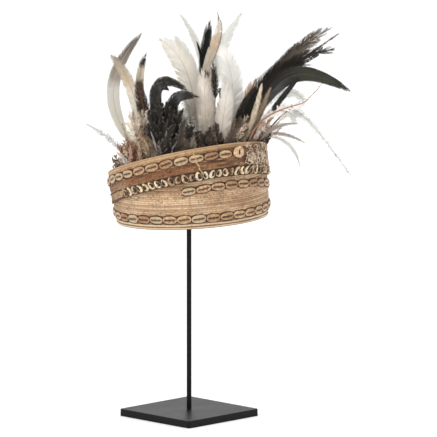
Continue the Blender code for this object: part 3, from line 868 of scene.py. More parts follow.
def makeSmallShells():
    # Each is a small spiral shell cut open: a thick pale lip round a mouth painted dark as shade
    look = smallShell
    rng = np.random.default_rng(31)
    count = round(2 * math.pi * hat["upperRadius"] / look["pitch"])
    level = raised(rimLevel, rows["smallAbove"] - hat["upperBandDepth"])
    lostFrom, lostTo = look["lostAngles"]
    heap = Heap("strand", "dark", "teeth")
    turn = fullTurn(look["around"])[:, None]
    section = fullTurn(look["across"])[None]
    for shell in range(count):
        angle = 2 * math.pi * (shell + 0.5) / count
        if lostFrom < math.degrees(angle) < lostTo:
            continue
        seat = surfaceFrame(onUpper, np.array(angle), level)
        lean = look["lean"] * math.sin(angle) + rng.uniform(-look["leanStray"], look["leanStray"])
        grow = rng.uniform(0.80, 1.06)
        # The lip is thick on one side and thin where the mouth opens
        thickSide = rng.uniform(0.9, 2.2) * rng.choice([-1, 1])
        fat = look["fat"] + look["fatChange"] * np.cos(turn - thickSide)
        wide = look["wide"] / 2 * grow * rng.uniform(0.72, 1.08) - fat
        tall = look["tall"] / 2 * grow - fat
        x = np.sin(turn) * (wide + fat * np.cos(section)) * (1 - 0.25 * np.cos(turn))
        y = np.cos(turn) * (tall + fat * np.cos(section))
        z = 0.0010 + fat * 0.95 * np.sin(section) + 0.0006 * np.cos(turn * 2)
        mouth = 0.5 - 0.5 * np.cos(turn - thickSide + rng.uniform(-0.5, 0.5))
        # Painted shade on the lip's inner side and on its thin side, where the mouth opens
        dark = np.clip(-np.cos(section) - 0.35, 0, 1) * 0.8 + 1.5 * np.clip(mouth - 0.6, 0, 1)
        lip = placeForm(np.stack([x + y * lean, y, z], -1), seat, look["lift"])
        heap.grid(lip, wrapAcross=True, wrapAlong=True, strand=rng.uniform(), dark=np.clip(dark, 0, 1))
        # The shell's back wall is a sheet painted dark as the shade inside the mouth
        ring = np.linspace(0.02, 1, 4)[None]
        x = np.sin(turn) * wide * ring
        y = np.cos(turn) * tall * ring
        z = 0.0004 + 0.0004 * (1 - ring ** 2) + 0 * turn
        wall = placeForm(np.stack([x + y * lean, y, z], -1), seat, look["lift"])
        heap.grid(wall, wrapAlong=True, strand=0.5, dark=look["mouthShade"])
    backing = Heap()
    lost = np.radians(look["lostAngles"])
    angles = np.linspace(lost[1] - 2 * math.pi, lost[0], look["cordSteps"])
    rise = np.linspace(-0.5, 0.5, 4)[None] * look["backing"]
    layStrip(backing, onUpper, level, angles, rise, 0.00045, False)
    for side in (-1, 1):
        stray = smoothNoise(rng, look["cordSteps"], look["cordKnots"], True) * 0.0006
        cordLevel = raised(level, side * look["backing"] * 0.53 + stray)
        path = onUpper(fullTurn(look["cordSteps"]), cordLevel, 0.0007)
        tube(backing, path, look["cordRadius"], 6, True)
    backing.piece("smallShellBacking", darkThread, "worn_fibre")
    heap.piece("smallShellRow", shellFinish("paleSmallShell", look, 60.0), "small_shell", "nassa_row")


def makeDisc():
    # From the slot's edge out over the domed face, round the rim, back in and down through the slot
    look = disc
    level = raised(rimLevel, -hat["upperBandDepth"] * rows["discShare"])
    seat = surfaceFrame(onUpper, np.array(math.radians(rows["discAngle"])), level)
    turn = fullTurn(look["around"])[:, None]
    radius = rows["discRadius"]
    sin, cos = np.sin(turn), np.cos(turn)
    wobble = 1 + 0.035 * np.sin(turn * 3 + 0.6) + 0.02 * np.sin(turn * 7)
    slotX = look["slotWide"] / 2 * np.sign(sin) * np.abs(sin) ** 0.6
    slotY = look["slotTall"] / 2 * np.sign(cos) * np.abs(cos) ** 0.7
    columns = []
    darks = []
    for share in np.linspace(0, 1, look["rings"]):
        x = slotX * (1 - share) + radius * 0.93 * sin * wobble * share
        y = slotY * (1 - share) + radius * 0.93 * cos * wobble * share
        distance = np.hypot(x, y) / radius
        z = look["thick"] * (1 - 0.22 * distance ** 2) + 0.0003 * hump(share, 0.0, 0.12)
        hole = hump(np.hypot(x - look["holeAt"][0], y - look["holeAt"][1]), 0.0, look["holeRadius"])
        z = z - look["holeDeep"] * hole + look["ringProud"] * hump(share, 0.42, 0.10)
        columns.append(np.stack([x, y, z], -1))
        # Painted shade in the hole and at the slot's edge
        darks.append(hole * 0.9 + 0.35 * hump(share, 0.0, 0.05))
    for share, z in ((1.0, 0.70), (1.0, 0.35), (0.94, 0.08)):
        x = radius * share * sin * wobble
        y = radius * share * cos * wobble
        columns.append(np.stack([x, y, 0 * x + look["thick"] * z], -1))
        darks.append(0 * turn + 0.15)
    for share, z in ((0.6, 0.06), (0.0, 0.06), (0.0, 0.5)):
        x = slotX * (1 - share) + radius * sin * share
        y = slotY * (1 - share) + radius * cos * share
        columns.append(np.stack([x, y, 0 * x + look["thick"] * z], -1))
        # Painted shade inside the slot
        darks.append(0 * turn + 0.85)
    local = np.concatenate(columns, 1) * np.array([look["stretch"], 1, 1])
    heap = Heap("strand", "dark", "teeth")
    heap.grid(placeForm(local, seat, 2 * hat["gap"]), wrapAcross=True, wrapAlong=True, strand=0.5,
              dark=np.concatenate(darks, 1))
    finish = shellFinish("palePeachShell", look, 30.0)
    heap.piece("roundShellDisc", finish, "pale_shell", "round_shell", weld=True)


makeCowries()
makeSmallShells()
makeDisc()
print("shells are sewn on")


# String on the upper band

string = {
    "yellowAngles": (4.6, 10.0), "yellowDrops": (0.001, 0.034), "yellowRadius": 0.00045,
    "knotAngles": (48, 96), "knotDrops": (0.003, 0.031), "knots": 95, "knotRadius": 0.00048,
    "knotWide": (0.002, 0.0052), "knotTall": (0.0014, 0.0040), "loopPoints": 30,
}


def makeYellowThread():
    look = string
    share = np.linspace(0, 1, 40)
    (first, last), (top, bottom) = look["yellowAngles"], look["yellowDrops"]
    angle = np.radians(first + (last - first) * (share ** 1.2 + 0.04 * np.sin(share * 9)))
    drop = top + (bottom - top) * share
    path = onUpper(angle, raised(rimLevel, -drop), 0.0011 + 0.0008 * np.sin(share * 12) ** 2)
    second = path + np.array([0.0012, 0, 0]) * np.sin(share * 22)[:, None] + np.array([0, -0.0006, 0])
    heap = Heap()
    tube(heap, path, look["yellowRadius"], 7)
    tube(heap, second, look["yellowRadius"] * 0.7, 7)
    finish = threadFinish("yellowishThread", (212, 184, 128), (168, 134, 82))
    heap.piece("yellowThread", finish, "plant_fibre")


def makeKnots():
    look = string
    rng = np.random.default_rng(41)
    heap = Heap()
    turn = fullTurn(look["loopPoints"])
    for knot in range(look["knots"]):
        middle = math.radians(rng.uniform(*look["knotAngles"]))
        dropMiddle = rng.uniform(*look["knotDrops"])
        wide = rng.uniform(*look["knotWide"]) / hat["upperRadius"]
        tall = rng.uniform(*look["knotTall"])
        skew = rng.uniform(-0.6, 0.6)
        fold = rng.uniform(0, 6.28)
        x = np.cos(turn) + 0.35 * np.cos(2 * turn + fold)
        y = np.sin(turn) + 0.35 * np.sin(3 * turn + fold) + skew * np.cos(turn)
        drop = np.clip(dropMiddle + tall * y, 0.0015, look["knotDrops"][1])
        proud = 0.0006 + 0.0006 * np.sin(turn * 2 + fold) + rng.uniform(0, 0.0006)
        path = onUpper(middle + wide * x, raised(rimLevel, -drop), proud)
        tube(heap, path, look["knotRadius"] * rng.uniform(0.75, 1.2), 7, True)
    finish = threadFinish("greyTanString", (222, 204, 180), (142, 114, 90))
    heap.piece("knottedString", finish, "worn_fibre")


makeYellowThread()
makeKnots()
print("string is knotted")


# Feathers

plume = {
    "reach": 0.200, "height": 0.180, "depth": 0.090, "widestBlade": 0.030,
    "quillRadius": 0.0010, "quillTaper": 0.85,
    "leastWidth": 0.0004, "vaneEnd": 0.992, "quillEnd": 0.995,
}
# bare share of the quill, where the blade is broadest, how full its outline is
kinds = {
    "plume": (0.20, 0.52, 0.50),
    "sickle": (0.22, 0.46, 0.50),
    "hackle": (0.26, 0.55, 0.80),
    "wisp": (0.30, 0.45, 0.80),
    "leaf": (0.20, 0.60, 0.42),
}
# How barbs lie: points along each, its half breadth as a share of the pitch, the pitch between
# them, how far they sweep forward for their reach sideways, splits in the vane and how far they
# open, how ragged the edge is, how much of both is there along the whole vane and not only near
# its tip, the share of barbs that is missing, how they curl, and how far up the fluff reaches
barbColumns = ("points", "cover", "pitch", "sweep", "splits", "pinch", "ragged", "steady", "sparse", "curl",
               "fluff")
barbs = {
    "clean": (6, 0.92, 0.00040, 1.7, 1, 0.05, 0.03, 0.3, 0.0, 0.0003, 0.28),
    "smooth": (6, 0.92, 0.00042, 1.5, 4, 0.14, 0.08, 0.3, 0.0, 0.0006, 0.34),
    "soft": (6, 0.92, 0.00044, 1.15, 8, 0.28, 0.14, 0.35, 0.0, 0.0011, 0.40),
    "split": (6, 0.92, 0.00042, 1.5, 12, 0.75, 0.55, 0.06, 0.0, 0.0012, 0.30),
    "frayed": (6, 0.92, 0.00046, 1.3, 13, 0.45, 0.4, 0.4, 0.05, 0.0020, 0.42),
    "downy": (6, 0.92, 0.00044, 0.8, 12, 0.35, 0.4, 1.0, 0.04, 0.0045, 0.9),
    "wispy": (6, 0.92, 0.00070, 1.2, 8, 0.4, 0.6, 1.0, 0.20, 0.0035, 0.6),
    "bare": (6, 0.92, 0.0016, 1.6, 4, 0.3, 0.8, 1.0, 0.5, 0.0030, 0.3),
    "loose": (4, 0.75, 0.00150, 1.15, 5, 0.35, 0.45, 0.7, 0.0, 0.0026, 0.7),
}


def bladeShare(kind, share):
    bare, broadest, fullness = kinds[kind]
    place = np.clip((share - bare) / (1 - bare), 0, 1)
    warped = place ** (math.log(0.5) / math.log(broadest))
    return np.clip(np.sin(math.pi * warped), 0, None) ** fullness


def heading(degrees):
    return np.array([math.sin(math.radians(degrees)), 0, math.cos(math.radians(degrees))])


class Shaft:  # a cubic curve with its tangent and the blade's two directions
    def __init__(self, base, afterBase, beforeTip, tip, turn, flat=None, kink=None):
        self.ends = [np.asarray(point, float) for point in (base, afterBase, beforeTip, tip)]
        self.kink = kink
        self.turn = math.radians(turn)
        self.flat = flat
        spots = self.at(np.linspace(0, 1, 40))
        self.length = float(np.linalg.norm(np.diff(spots, axis=0), axis=1).sum())

    def at(self, share):
        share = np.asarray(share, float)[..., None]
        left = 1 - share
        a, b, c, d = self.ends
        spot = a * left ** 3 + b * 3 * left ** 2 * share + c * 3 * left * share ** 2 + d * share ** 3
        if self.kink:
            place, sag = self.kink  # the shaft is broken here and sags this far below its curve
            below = np.clip(share / place, 0, 1) ** 2 * np.clip((1 - share) / (1 - place), 0, 1)
            spot = spot - np.array([0, 0, sag]) * below
        return spot

    def frame(self, share):
        ahead = unit(self.at(share + 0.01) - self.at(share - 0.01))
        if self.flat is None:
            across = unit(np.stack([ahead[..., 2], 0 * ahead[..., 0], -ahead[..., 0]], -1))
        else:
            across = unit(np.cross(ahead, self.flat))
        across = across * math.cos(self.turn) + np.cross(ahead, across) * math.sin(self.turn)
        return ahead, across, np.cross(ahead, across)


barbForm = {
    "rootStray": 0.3,  # of a root along the shaft, as a share of the pitch
    "bow": 0.10, "bowStray": 0.02,  # out of the vane, as shares of the reach sideways
    "waves": 7, "waveShare": 0.5, "waveOut": 0.7, "fluffWaves": 2.5, "fluffShare": 0.6,
    "taper": 0.46, "fluffTaper": 0.45, "tipBreadth": 0.25,
    "tilt": 0.00003, "tiltStray": 0.00002,  # ribbons lie askew, so that neighbours overlap
}


def growVane(heap, shaft, widthAt, bare, last, style, rng, **marks):
    # Barbs are thin ribbons that overlap like shingles, both sides of the shaft
    form = barbForm
    style = dict(zip(barbColumns, style))
    t = np.linspace(0, 1, style["points"])[None]
    pitch = style["pitch"]
    for side, bakeBox in ((-1.0, (0.0, 0.45)), (1.0, (0.5, 0.95))):
        count = max(6, int(shaft.length * (1 - bare) / pitch))
        stray = rng.uniform(-form["rootStray"], form["rootStray"], count)
        root = np.clip(bare + (last - bare) * (np.arange(count) + stray) / count, bare, last)
        root = root[rng.uniform(size=count) > style["sparse"]]
        count = len(root)
        wide = widthAt(root)
        land = root + style["sweep"] * wide / shaft.length
        nearTip = style["steady"] + (1 - style["steady"]) * root ** 2.5
        half = np.where(land > 1, wide * 0.3, widthAt(np.minimum(land, 1.0)))
        half = half * (1 - style["ragged"] * nearTip * rng.uniform(0, 1, count) ** 2)
        # Barbs between two splits lean together and bow alike
        splits = np.sort(rng.uniform(bare, 1, style["splits"]))
        group = np.searchsorted(splits, root)
        edges = np.concatenate([[bare], splits, [1.0]])
        middle = (edges[group] + edges[group + 1]) / 2
        bow = form["bow"] + rng.normal(0, 1, style["splits"] + 2)[group] * form["bowStray"]
        share = root[:, None] + (land - root)[:, None] * t ** 1.15
        share = share + ((middle - root) * style["pinch"] * nearTip)[:, None] * t ** 3
        ahead, across, face = shaft.frame(share)
        sideways = half[:, None] * t ** 0.92
        loose = rng.uniform(-1, 1, (count, 1)) * style["curl"]
        out = bow[:, None] * half[:, None] * t ** 2 + loose * t ** 2
        phase = rng.uniform(0, 6.28, (count, 1))
        fluffy = (root < bare + (style["fluff"] - bare) * form["fluffShare"])[:, None] * 1.0
        wavy = style["curl"] * form["waveShare"] * np.sin(t * form["waves"] + phase) * t
        wavy = wavy * (1 + form["fluffWaves"] * fluffy)
        centre = shaft.at(share) + side * across * sideways[..., None] + face * out[..., None]
        centre = centre + ahead * wavy[..., None] + face * (wavy * form["waveOut"])[..., None]
        breadth = pitch * style["cover"] * (1 - form["taper"] * t ** 2) * (1 - form["fluffTaper"] * fluffy)
        breadth = breadth * np.where(t > 0.99, form["tipBreadth"], 1.0)
        tilt = form["tilt"] + form["tiltStray"] * rng.uniform(0, 1, (count, 1))
        shift = ahead * breadth[..., None] + face * (tilt + 0 * breadth)[..., None]
        strand = clumpTones(rng, root, shaft.length)[:, None, None]
        heap.grid(np.stack([centre - shift, centre + shift], 2), bakeBox=bakeBox, along=share[..., None],
                  across=t[..., None], strand=strand, **marks)


def clumpTones(rng, root, length):  # barbs that lie together share a tone, 0 to 1
    clumps = max(4, int(length / 0.0045))
    tones = np.interp(root, np.linspace(0, 1, clumps), rng.uniform(0, 1, clumps))
    return np.clip(0.62 * tones + 0.38 * rng.uniform(0, 1, len(root)), 0, 1)


def growQuill(heap, shaft, thick, sides=6, rings=30, **marks):
    share = np.linspace(0, plume["quillEnd"], rings)
    _, across, face = shaft.frame(share)
    turn = fullTurn(sides)[None, :, None]
    radius = thick * (1 - plume["quillTaper"] * share ** 0.8) * (1 - 0.25 * (share < 0.02))
    ring = np.cos(turn) * across[:, None] + np.sin(turn) * face[:, None]
    points = shaft.at(share)[:, None] + ring * radius[:, None, None]
    heap.grid(points, wrapAcross=True, capped=True, bakeBox=(0.96, 1.0), along=share[None, :, None],
              strand=0.5, shaft=1.0, **marks)


# What a feather's look is where its row says nothing else. Blunt below 1 makes its tip rounder
# than the solid's, and slim thins the blade towards its tip besides.
usualLook = {
    "roughness": 0.62, "sheen": 0.15, "shine": 0.3, "blur": 0.05, "contrast": 0.14,
    "blunt": 1.0, "slim": 0.0, "kink": None, "company": (),
}


def vaneFinish(name, look):
    vane = Finish(name, Roughness=look["roughness"], Sheen_Weight=look["sheen"], Sheen_Roughness=0.4,
                  Specular_IOR_Level=look["shine"])
    along, across, strand = (vane.mark(mark) for mark in ("along", "across", "strand"))
    where = vane.position()
    mottle = vane.noise(where, 160.0, 4.0, 0.6)
    fine = vane.noise(where, 1300.0, 3.0, 0.6)
    along = along + (mottle - 0.5) * (2.2 * look["blur"]) + (strand - 0.5) * look["blur"]
    colour = vane.ramp(along, [(place, tone(*stop)) for place, *stop in look["stops"]])
    if "edge" in look:
        share, *layer = look["edge"]
        colour = vane.mix(across.between(0.45, 1.0) * share, colour, tone(*layer))
    if "speck" in look:
        share, *layer = look["speck"]
        spots = vane.noise(where, 330.0, 3.0, 0.6).between(0.56, 0.64)
        colour = vane.mix(spots * share, colour, tone(*layer))
    contrast = look["contrast"]
    colour = vane.shade(colour, strand * (1.6 * contrast) + fine * contrast + (1.0 - 1.3 * contrast))
    # Painted highlight: pale streaks along the barbs stand for glints on the glossy black arches
    if "streak" in look:
        share, *layer = look["streak"]
        streaks = (strand * 3.7 + along * 9.0).wave().between(0.78, 0.96) * across.between(0.05, 0.6)
        colour = vane.mix(streaks * share, colour, tone(*layer))
    vane.feed("Base Color", vane.mix(vane.mark("shaft"), colour, tone(*look["quill"])))
    vane.bump(fine * 0.6 + strand * 0.4, 0.00010, 0.35)
    return vane


# Each feather: where it leaves the crown (shares of its radius), where its tip is (shares of the
# plume's reach, depth and height), its headings at base and tip and how far it keeps them, its
# width as a share of the widest, its kind and how the blade is twisted, as the solids have them.
# Then how its barbs lie, what its material is called, its colours from the base to the tip and its
# look. Its company is smaller blades on the same foot: how far their tips stray from its own, their
# width as a share of its own, and where their barbs start and end.
white = [(0.0, 170, 160, 144), (0.25, 206, 200, 188), (0.5, 226, 223, 214), (1.0, 212, 211, 205)]
black = [(0.0, 56, 48, 40), (0.3, 34, 30, 25), (0.7, 26, 24, 21), (1.0, 24, 22, 20)]
featherColumns = ("base", "tip", "lean", "arrive", "rise", "reach", "width", "kind", "turn", "barb",
                  "material")
feathers = {
    "wisp_left": (
        (-0.55, 0.02), (-0.637, 0.25, 0.205), -30, -66, 0.35, 0.35, 0.33, "wisp", 15, "wispy", "white",
        dict(stops=[(0.0, 184, 184, 180), (1.0, 206, 208, 206)], quill=(188, 186, 180))),
    "sickle_white": (
        (-0.43, 0.42), (-0.289, 0.70, 0.786), -38, 42, 0.58, 0.42, 0.64, "sickle", 30, "clean", "white",
        dict(stops=[(0.0, 196, 184, 162), (0.2, 222, 216, 202), (0.58, 230, 227, 218),
             (0.66, 176, 166, 156), (0.80, 150, 139, 130), (1.0, 92, 84, 78)], quill=(196, 186, 168),
             edge=(0.22, 186, 176, 156), blur=0.03, blunt=0.8, contrast=0.07, vaneFrom=0.10)),
    "hackle_cream": (
        (-0.42, 0.00), (-0.475, -0.12, 0.706), -20, -42, 0.33, 0.33, 0.62, "plume", -22, "soft", "cream",
        dict(stops=[(0.0, 178, 162, 142), (0.35, 212, 202, 187), (0.66, 212, 202, 187),
             (0.76, 186, 166, 142), (0.84, 172, 156, 134), (1.0, 146, 138, 126)], quill=(150, 130, 100),
             blur=0.08, blunt=0.75, contrast=0.2, edge=(0.35, 160, 144, 122))),
    "banded": (
        (-0.34, 0.26), (-0.264, 0.47, 0.663), -14, 22, 0.40, 0.35, 0.48, "leaf", 35, "smooth", "cream",
        dict(stops=[(0.0, 96, 76, 60), (0.5, 72, 52, 40), (0.76, 84, 62, 46), (0.80, 206, 192, 172),
             (0.87, 220, 208, 186), (0.91, 62, 62, 44), (0.96, 44, 48, 34), (1.0, 60, 56, 44)],
             quill=(120, 96, 70), blur=0.03, blunt=0.7)),
    "brown_left": (
        (-0.38, -0.13), (-0.315, -0.12, 0.520), -12, -14, 0.33, 0.33, 0.64, "plume", 20, "soft", "brown",
        dict(stops=[(0.0, 96, 76, 60), (0.4, 70, 50, 38), (0.75, 52, 36, 28), (1.0, 70, 50, 38)],
             quill=(120, 92, 66), speck=(0.35, 176, 152, 130), blur=0.1, blunt=0.7, contrast=0.22)),
    "arch_black_a": (
        (-0.26, -0.24), (-0.012, -0.37, 0.482), -12, 125, 0.83, 0.57, 0.52, "sickle", -22, "smooth",
        "black",
        dict(stops=[(0.0, 56, 47, 40), (0.3, 40, 34, 30), (0.6, 30, 27, 24), (1.0, 20, 19, 17)],
             quill=(50, 42, 34), roughness=0.34, shine=0.20, contrast=0.5, blunt=0.5, sheen=0.0,
             streak=(0.24, 132, 124, 114), speck=(0.4, 86, 76, 68), slim=0.2,
             company=[((-0.006, -0.003, -0.004), 1.0, 0.12, 0.85)])),
    "arch_black_b": (
        (-0.03, -0.42), (0.054, -0.67, 0.462), -17, 104, 0.76, 0.47, 0.58, "sickle", -28, "smooth",
        "black",
        dict(stops=[(0.0, 48, 42, 36), (0.3, 30, 27, 24), (0.6, 24, 23, 20), (1.0, 20, 19, 17)],
             quill=(44, 38, 32), roughness=0.34, shine=0.20, contrast=0.5, blunt=0.5, sheen=0.0,
             streak=(0.24, 132, 124, 114), slim=0.2)),
    "marabou_grey": (
        (0.04, -0.16), (-0.031, -0.25, 0.443), -4, -22, 0.33, 0.33, 0.78, "plume", -20, "downy", "grey",
        dict(stops=[(0.0, 120, 112, 98), (0.5, 180, 174, 160), (1.0, 196, 192, 180)],
             quill=(130, 120, 104), speck=(0.75, 74, 68, 58), blur=0.15, contrast=0.25,
             company=[((-0.012, -0.010, -0.010), 0.9, 0.12, 0.99)])),
    "broad_white": (
        (0.14, 0.03), (-0.183, -0.15, 0.813), -4, -62, 0.45, 0.30, 1.01, "plume", -10, "soft", "white",
        dict(stops=[(0.0, 160, 148, 134), (0.25, 196, 186, 172), (0.55, 216, 209, 196),
             (1.0, 222, 217, 207)], quill=(188, 176, 158), edge=(0.35, 186, 178, 164), contrast=0.12,
             blunt=0.8)),
    "spike_white": (
        (0.15, 0.14), (-0.090, 0.10, 0.816), -4, -40, 0.45, 0.30, 0.64, "plume", 28, "soft", "white",
        dict(stops=white, quill=(206, 198, 182), contrast=0.08, blunt=0.8)),
    "thin_white": (
        (0.21, 0.55), (-0.059, 0.83, 0.911), 2, -40, 0.52, 0.28, 0.40, "hackle", 42, "soft", "white",
        dict(stops=white, quill=(208, 202, 190), contrast=0.06, blunt=0.8)),
    "pointed_black": (
        (0.23, 0.24), (0.125, 0.43, 0.886), -3, 10, 0.33, 0.33, 0.58, "leaf", 28, "clean", "black",
        dict(stops=[(0.0, 40, 37, 32), (0.5, 26, 28, 24), (1.0, 22, 24, 21)], quill=(34, 32, 28),
             roughness=0.6, shine=0.12, contrast=0.2, sheen=0.0, blunt=0.7)),
    "thin_black": (
        (0.19, 0.38), (0.044, 0.57, 0.745), 2, -22, 0.33, 0.33, 0.25, "hackle", 38, "clean", "black",
        dict(stops=[(0.0, 66, 54, 42), (0.4, 40, 32, 26), (1.0, 26, 22, 18)], quill=(60, 50, 40),
             sheen=0.0, shine=0.2, blunt=0.6)),
    "tall_tan": (
        (0.16, -0.16), (0.169, -0.20, 1.013), -10, -22, 0.62, 0.20, 0.49, "hackle", -24, "soft", "tan",
        dict(stops=[(0.0, 136, 127, 114), (0.40, 156, 147, 131), (0.56, 172, 162, 145),
             (0.66, 184, 162, 136), (0.74, 190, 170, 147), (0.79, 204, 198, 187), (0.88, 204, 201, 192),
             (0.92, 84, 82, 74), (1.0, 120, 118, 110)], quill=(176, 142, 110), blur=0.06, contrast=0.2,
             blunt=1.1, slim=0.85, edge=(0.6, 204, 199, 188), speck=(0.3, 130, 116, 98),
             company=[((0.004, 0.002, -0.010), 0.3, 0.55, 0.99),
             ((-0.006, -0.003, -0.060), 0.8, 0.3, 0.99)])),
    "pale_white": (
        (0.35, 0.42), (0.325, 0.67, 0.935), -6, 36, 0.40, 0.42, 0.75, "hackle", -38, "soft", "white",
        dict(stops=[(0.0, 190, 186, 178), (0.4, 226, 225, 219), (1.0, 202, 202, 197)],
             quill=(214, 212, 204), contrast=0.06, blunt=0.8)),
    "wide_white": (
        (0.41, 0.12), (0.170, 0.20, 0.754), 8, -38, 0.45, 0.36, 1.03, "plume", 20, "soft", "white",
        dict(stops=[(0.0, 166, 158, 144), (0.3, 212, 207, 197), (0.7, 240, 238, 231),
             (1.0, 242, 240, 234)], quill=(214, 208, 196), contrast=0.08, blunt=0.8,
             edge=(0.25, 222, 219, 211))),
    "hook_black": (
        (0.27, -0.30), (0.146, -0.40, 0.661), 6, -8, 0.33, 0.33, 0.34, "hackle", -20, "frayed", "black",
        dict(stops=[(0.0, 150, 138, 124), (0.5, 44, 34, 27), (1.0, 34, 27, 21)], quill=(112, 100, 88),
             blur=0.04, vaneFrom=0.68, sheen=0.0, shine=0.15, blunt=0.15,
             company=[((-0.009, 0.002, -0.008), 0.8, 0.80, 0.99),
             ((0.008, 0.002, -0.028), 0.45, 0.86, 0.99)])),
    "pink_grey_left": (
        (0.19, -0.46), (0.085, -0.63, 0.633), 2, -6, 0.33, 0.33, 0.86, "plume", -32, "soft", "grey",
        dict(stops=[(0.0, 96, 86, 76), (0.28, 164, 152, 138), (0.6, 200, 189, 175), (1.0, 216, 208, 197)],
             quill=(180, 168, 152), blur=0.1, blunt=0.6, contrast=0.14)),
    "pink_grey_right": (
        (0.36, -0.58), (0.237, -0.83, 0.561), 6, 8, 0.33, 0.33, 0.87, "plume", -34, "soft", "grey",
        dict(stops=[(0.0, 92, 82, 72), (0.28, 160, 148, 134), (0.6, 202, 193, 181), (1.0, 216, 211, 202)],
             quill=(178, 166, 150), blur=0.1, blunt=0.6, contrast=0.14)),
    "plume_black_upper": (
        (0.50, 0.18), (0.845, 0.40, 0.840), 22, 58, 0.40, 0.36, 0.92, "plume", 24, "split", "black",
        dict(stops=[(0.0, 46, 39, 32), (0.3, 26, 23, 20), (0.62, 42, 36, 29), (0.78, 82, 72, 60),
             (1.0, 128, 118, 104)], quill=(56, 48, 40), roughness=0.5, shine=0.2, contrast=0.35,
             speck=(0.4, 92, 78, 66), blunt=0.55, sheen=0.0,
             company=[((-0.021, -0.004, -0.019), 0.95, 0.16, 0.99),
             ((0.016, 0.004, -0.005), 0.16, 0.5, 0.99), ((-0.006, 0.006, 0.000), 0.5, 0.3, 0.99)])),
    "plume_black_lower": (
        (0.54, 0.02), (0.885, 0.07, 0.730), 24, 82, 0.46, 0.40, 0.62, "plume", 8, "split", "black",
        dict(stops=[(0.0, 44, 38, 31), (0.5, 28, 25, 21), (0.85, 36, 32, 27), (1.0, 44, 42, 36)],
             quill=(50, 44, 36), roughness=0.5, shine=0.2, contrast=0.35, blunt=0.45, sheen=0.0,
             company=[((-0.036, -0.003, -0.018), 1.5, 0.14, 0.99),
             ((-0.050, 0.004, -0.040), 1.2, 0.14, 0.99)])),
    "sickle_olive": (
        (0.58, -0.14), (0.984, -0.23, 0.462), 22, 120, 0.72, 0.52, 0.60, "sickle", -18, "clean", "olive",
        dict(stops=[(0.0, 44, 38, 30), (0.35, 24, 22, 18), (0.54, 27, 25, 20), (0.68, 46, 46, 37),
             (0.88, 50, 50, 41), (1.0, 24, 24, 20)], quill=(70, 64, 50), roughness=0.34, shine=0.26,
             contrast=0.2, blunt=0.9, sheen=0.0, company=[((-0.006, 0.003, 0.006), 0.7, 0.18, 0.97)])),
    "small_black": (
        (0.61, -0.28), (0.673, -0.50, 0.590), 30, 40, 0.33, 0.33, 0.28, "hackle", -32, "clean", "black",
        dict(stops=black, quill=(60, 54, 46), sheen=0.0, shine=0.25, blunt=0.5, vaneFrom=0.58)),
    "tuft_tan": (
        (0.54, 0.42), (0.408, 0.63, 0.477), 6, 26, 0.33, 0.33, 0.72, "leaf", 38, "soft", "tan",
        dict(stops=[(0.0, 110, 86, 66), (0.5, 186, 146, 108), (0.85, 206, 168, 128), (1.0, 198, 162, 126)],
             quill=(180, 140, 100), blunt=0.5, contrast=0.1)),
    "short_black": (
        (0.48, -0.40), (0.408, -0.70, 0.536), 8, 42, 0.33, 0.33, 0.34, "hackle", -36, "soft", "black",
        dict(stops=black, quill=(60, 50, 40), sheen=0.0, shine=0.25, blunt=0.6)),
    "cream_left": (
        (0.59, -0.45), (0.444, -0.90, 0.581), 22, 10, 0.33, 0.33, 0.32, "hackle", -42, "soft", "cream",
        dict(stops=[(0.0, 104, 88, 74), (0.45, 172, 158, 138), (1.0, 220, 205, 182)],
             quill=(186, 162, 130), blunt=0.7, blur=0.16, contrast=0.3, edge=(0.35, 140, 122, 102),
             speck=(0.5, 84, 68, 54))),
    "cream_right": (
        (0.66, -0.40), (0.499, -0.70, 0.536), 26, 24, 0.33, 0.33, 0.29, "hackle", -36, "soft", "cream",
        dict(stops=[(0.0, 80, 66, 54), (0.45, 112, 97, 81), (1.0, 152, 134, 112)], quill=(150, 124, 98),
             blunt=0.7, blur=0.16, contrast=0.3, edge=(0.55, 100, 82, 66), speck=(0.5, 76, 60, 48))),
    "quill_brown": (
        (0.72, -0.42), (0.807, -1.00, 0.583), 0, 50, 0.52, 0.30, 0.46, "wisp", -32, "bare", "brown",
        dict(stops=[(0.0, 170, 146, 130), (0.6, 220, 214, 208), (1.0, 224, 222, 218)],
             quill=(148, 108, 84), quillScale=2.0, kink=(0.80, 0.0110))),
    "tail_white": (
        (0.66, 0.36), (0.994, 0.58, -0.190), 20, 144, 0.96, 0.72, 0.55, "wisp", 30, "wispy", "white",
        dict(stops=[(0.0, 222, 218, 210), (0.5, 244, 244, 240), (0.75, 236, 236, 232),
             (1.0, 176, 174, 166)], quill=(184, 182, 174), vaneFrom=0.20, slim=0.9, quillScale=0.9,
             company=[((-0.020, 0.004, 0.016), 1.5, 0.2, 0.62),
             ((-0.034, 0.004, 0.066), 1.6, 0.25, 0.80)])),
    "quill_dark": (
        (0.70, 0.02), (0.628, 0.03, 0.332), 36, 56, 0.33, 0.33, 0.16, "hackle", 0, "bare", "black",
        dict(stops=black, quill=(46, 40, 34), quillScale=2.6, vaneFrom=0.93)),
    "thin_grey": (
        (0.74, -0.19), (0.667, -0.43, 0.259), 20, 94, 0.46, 0.33, 0.17, "hackle", -15, "soft", "grey",
        dict(stops=[(0.0, 150, 138, 126), (1.0, 176, 172, 164)], quill=(150, 140, 126))),
    "curved_white": (
        (0.80, 0.13), (0.675, 0.23, -0.100), 10, 176, 0.90, 0.60, 0.21, "hackle", 15, "soft", "white",
        dict(stops=[(0.0, 212, 204, 192), (0.5, 238, 238, 234), (1.0, 220, 220, 217)],
             quill=(206, 203, 196))),
    "curved_grey": (
        (0.78, 0.26), (0.714, 0.40, 0.051), 10, 124, 0.62, 0.46, 0.23, "hackle", 30, "soft", "grey",
        dict(stops=[(0.0, 150, 134, 120), (0.5, 190, 184, 174), (1.0, 176, 172, 166)],
             quill=(160, 148, 132))),
}


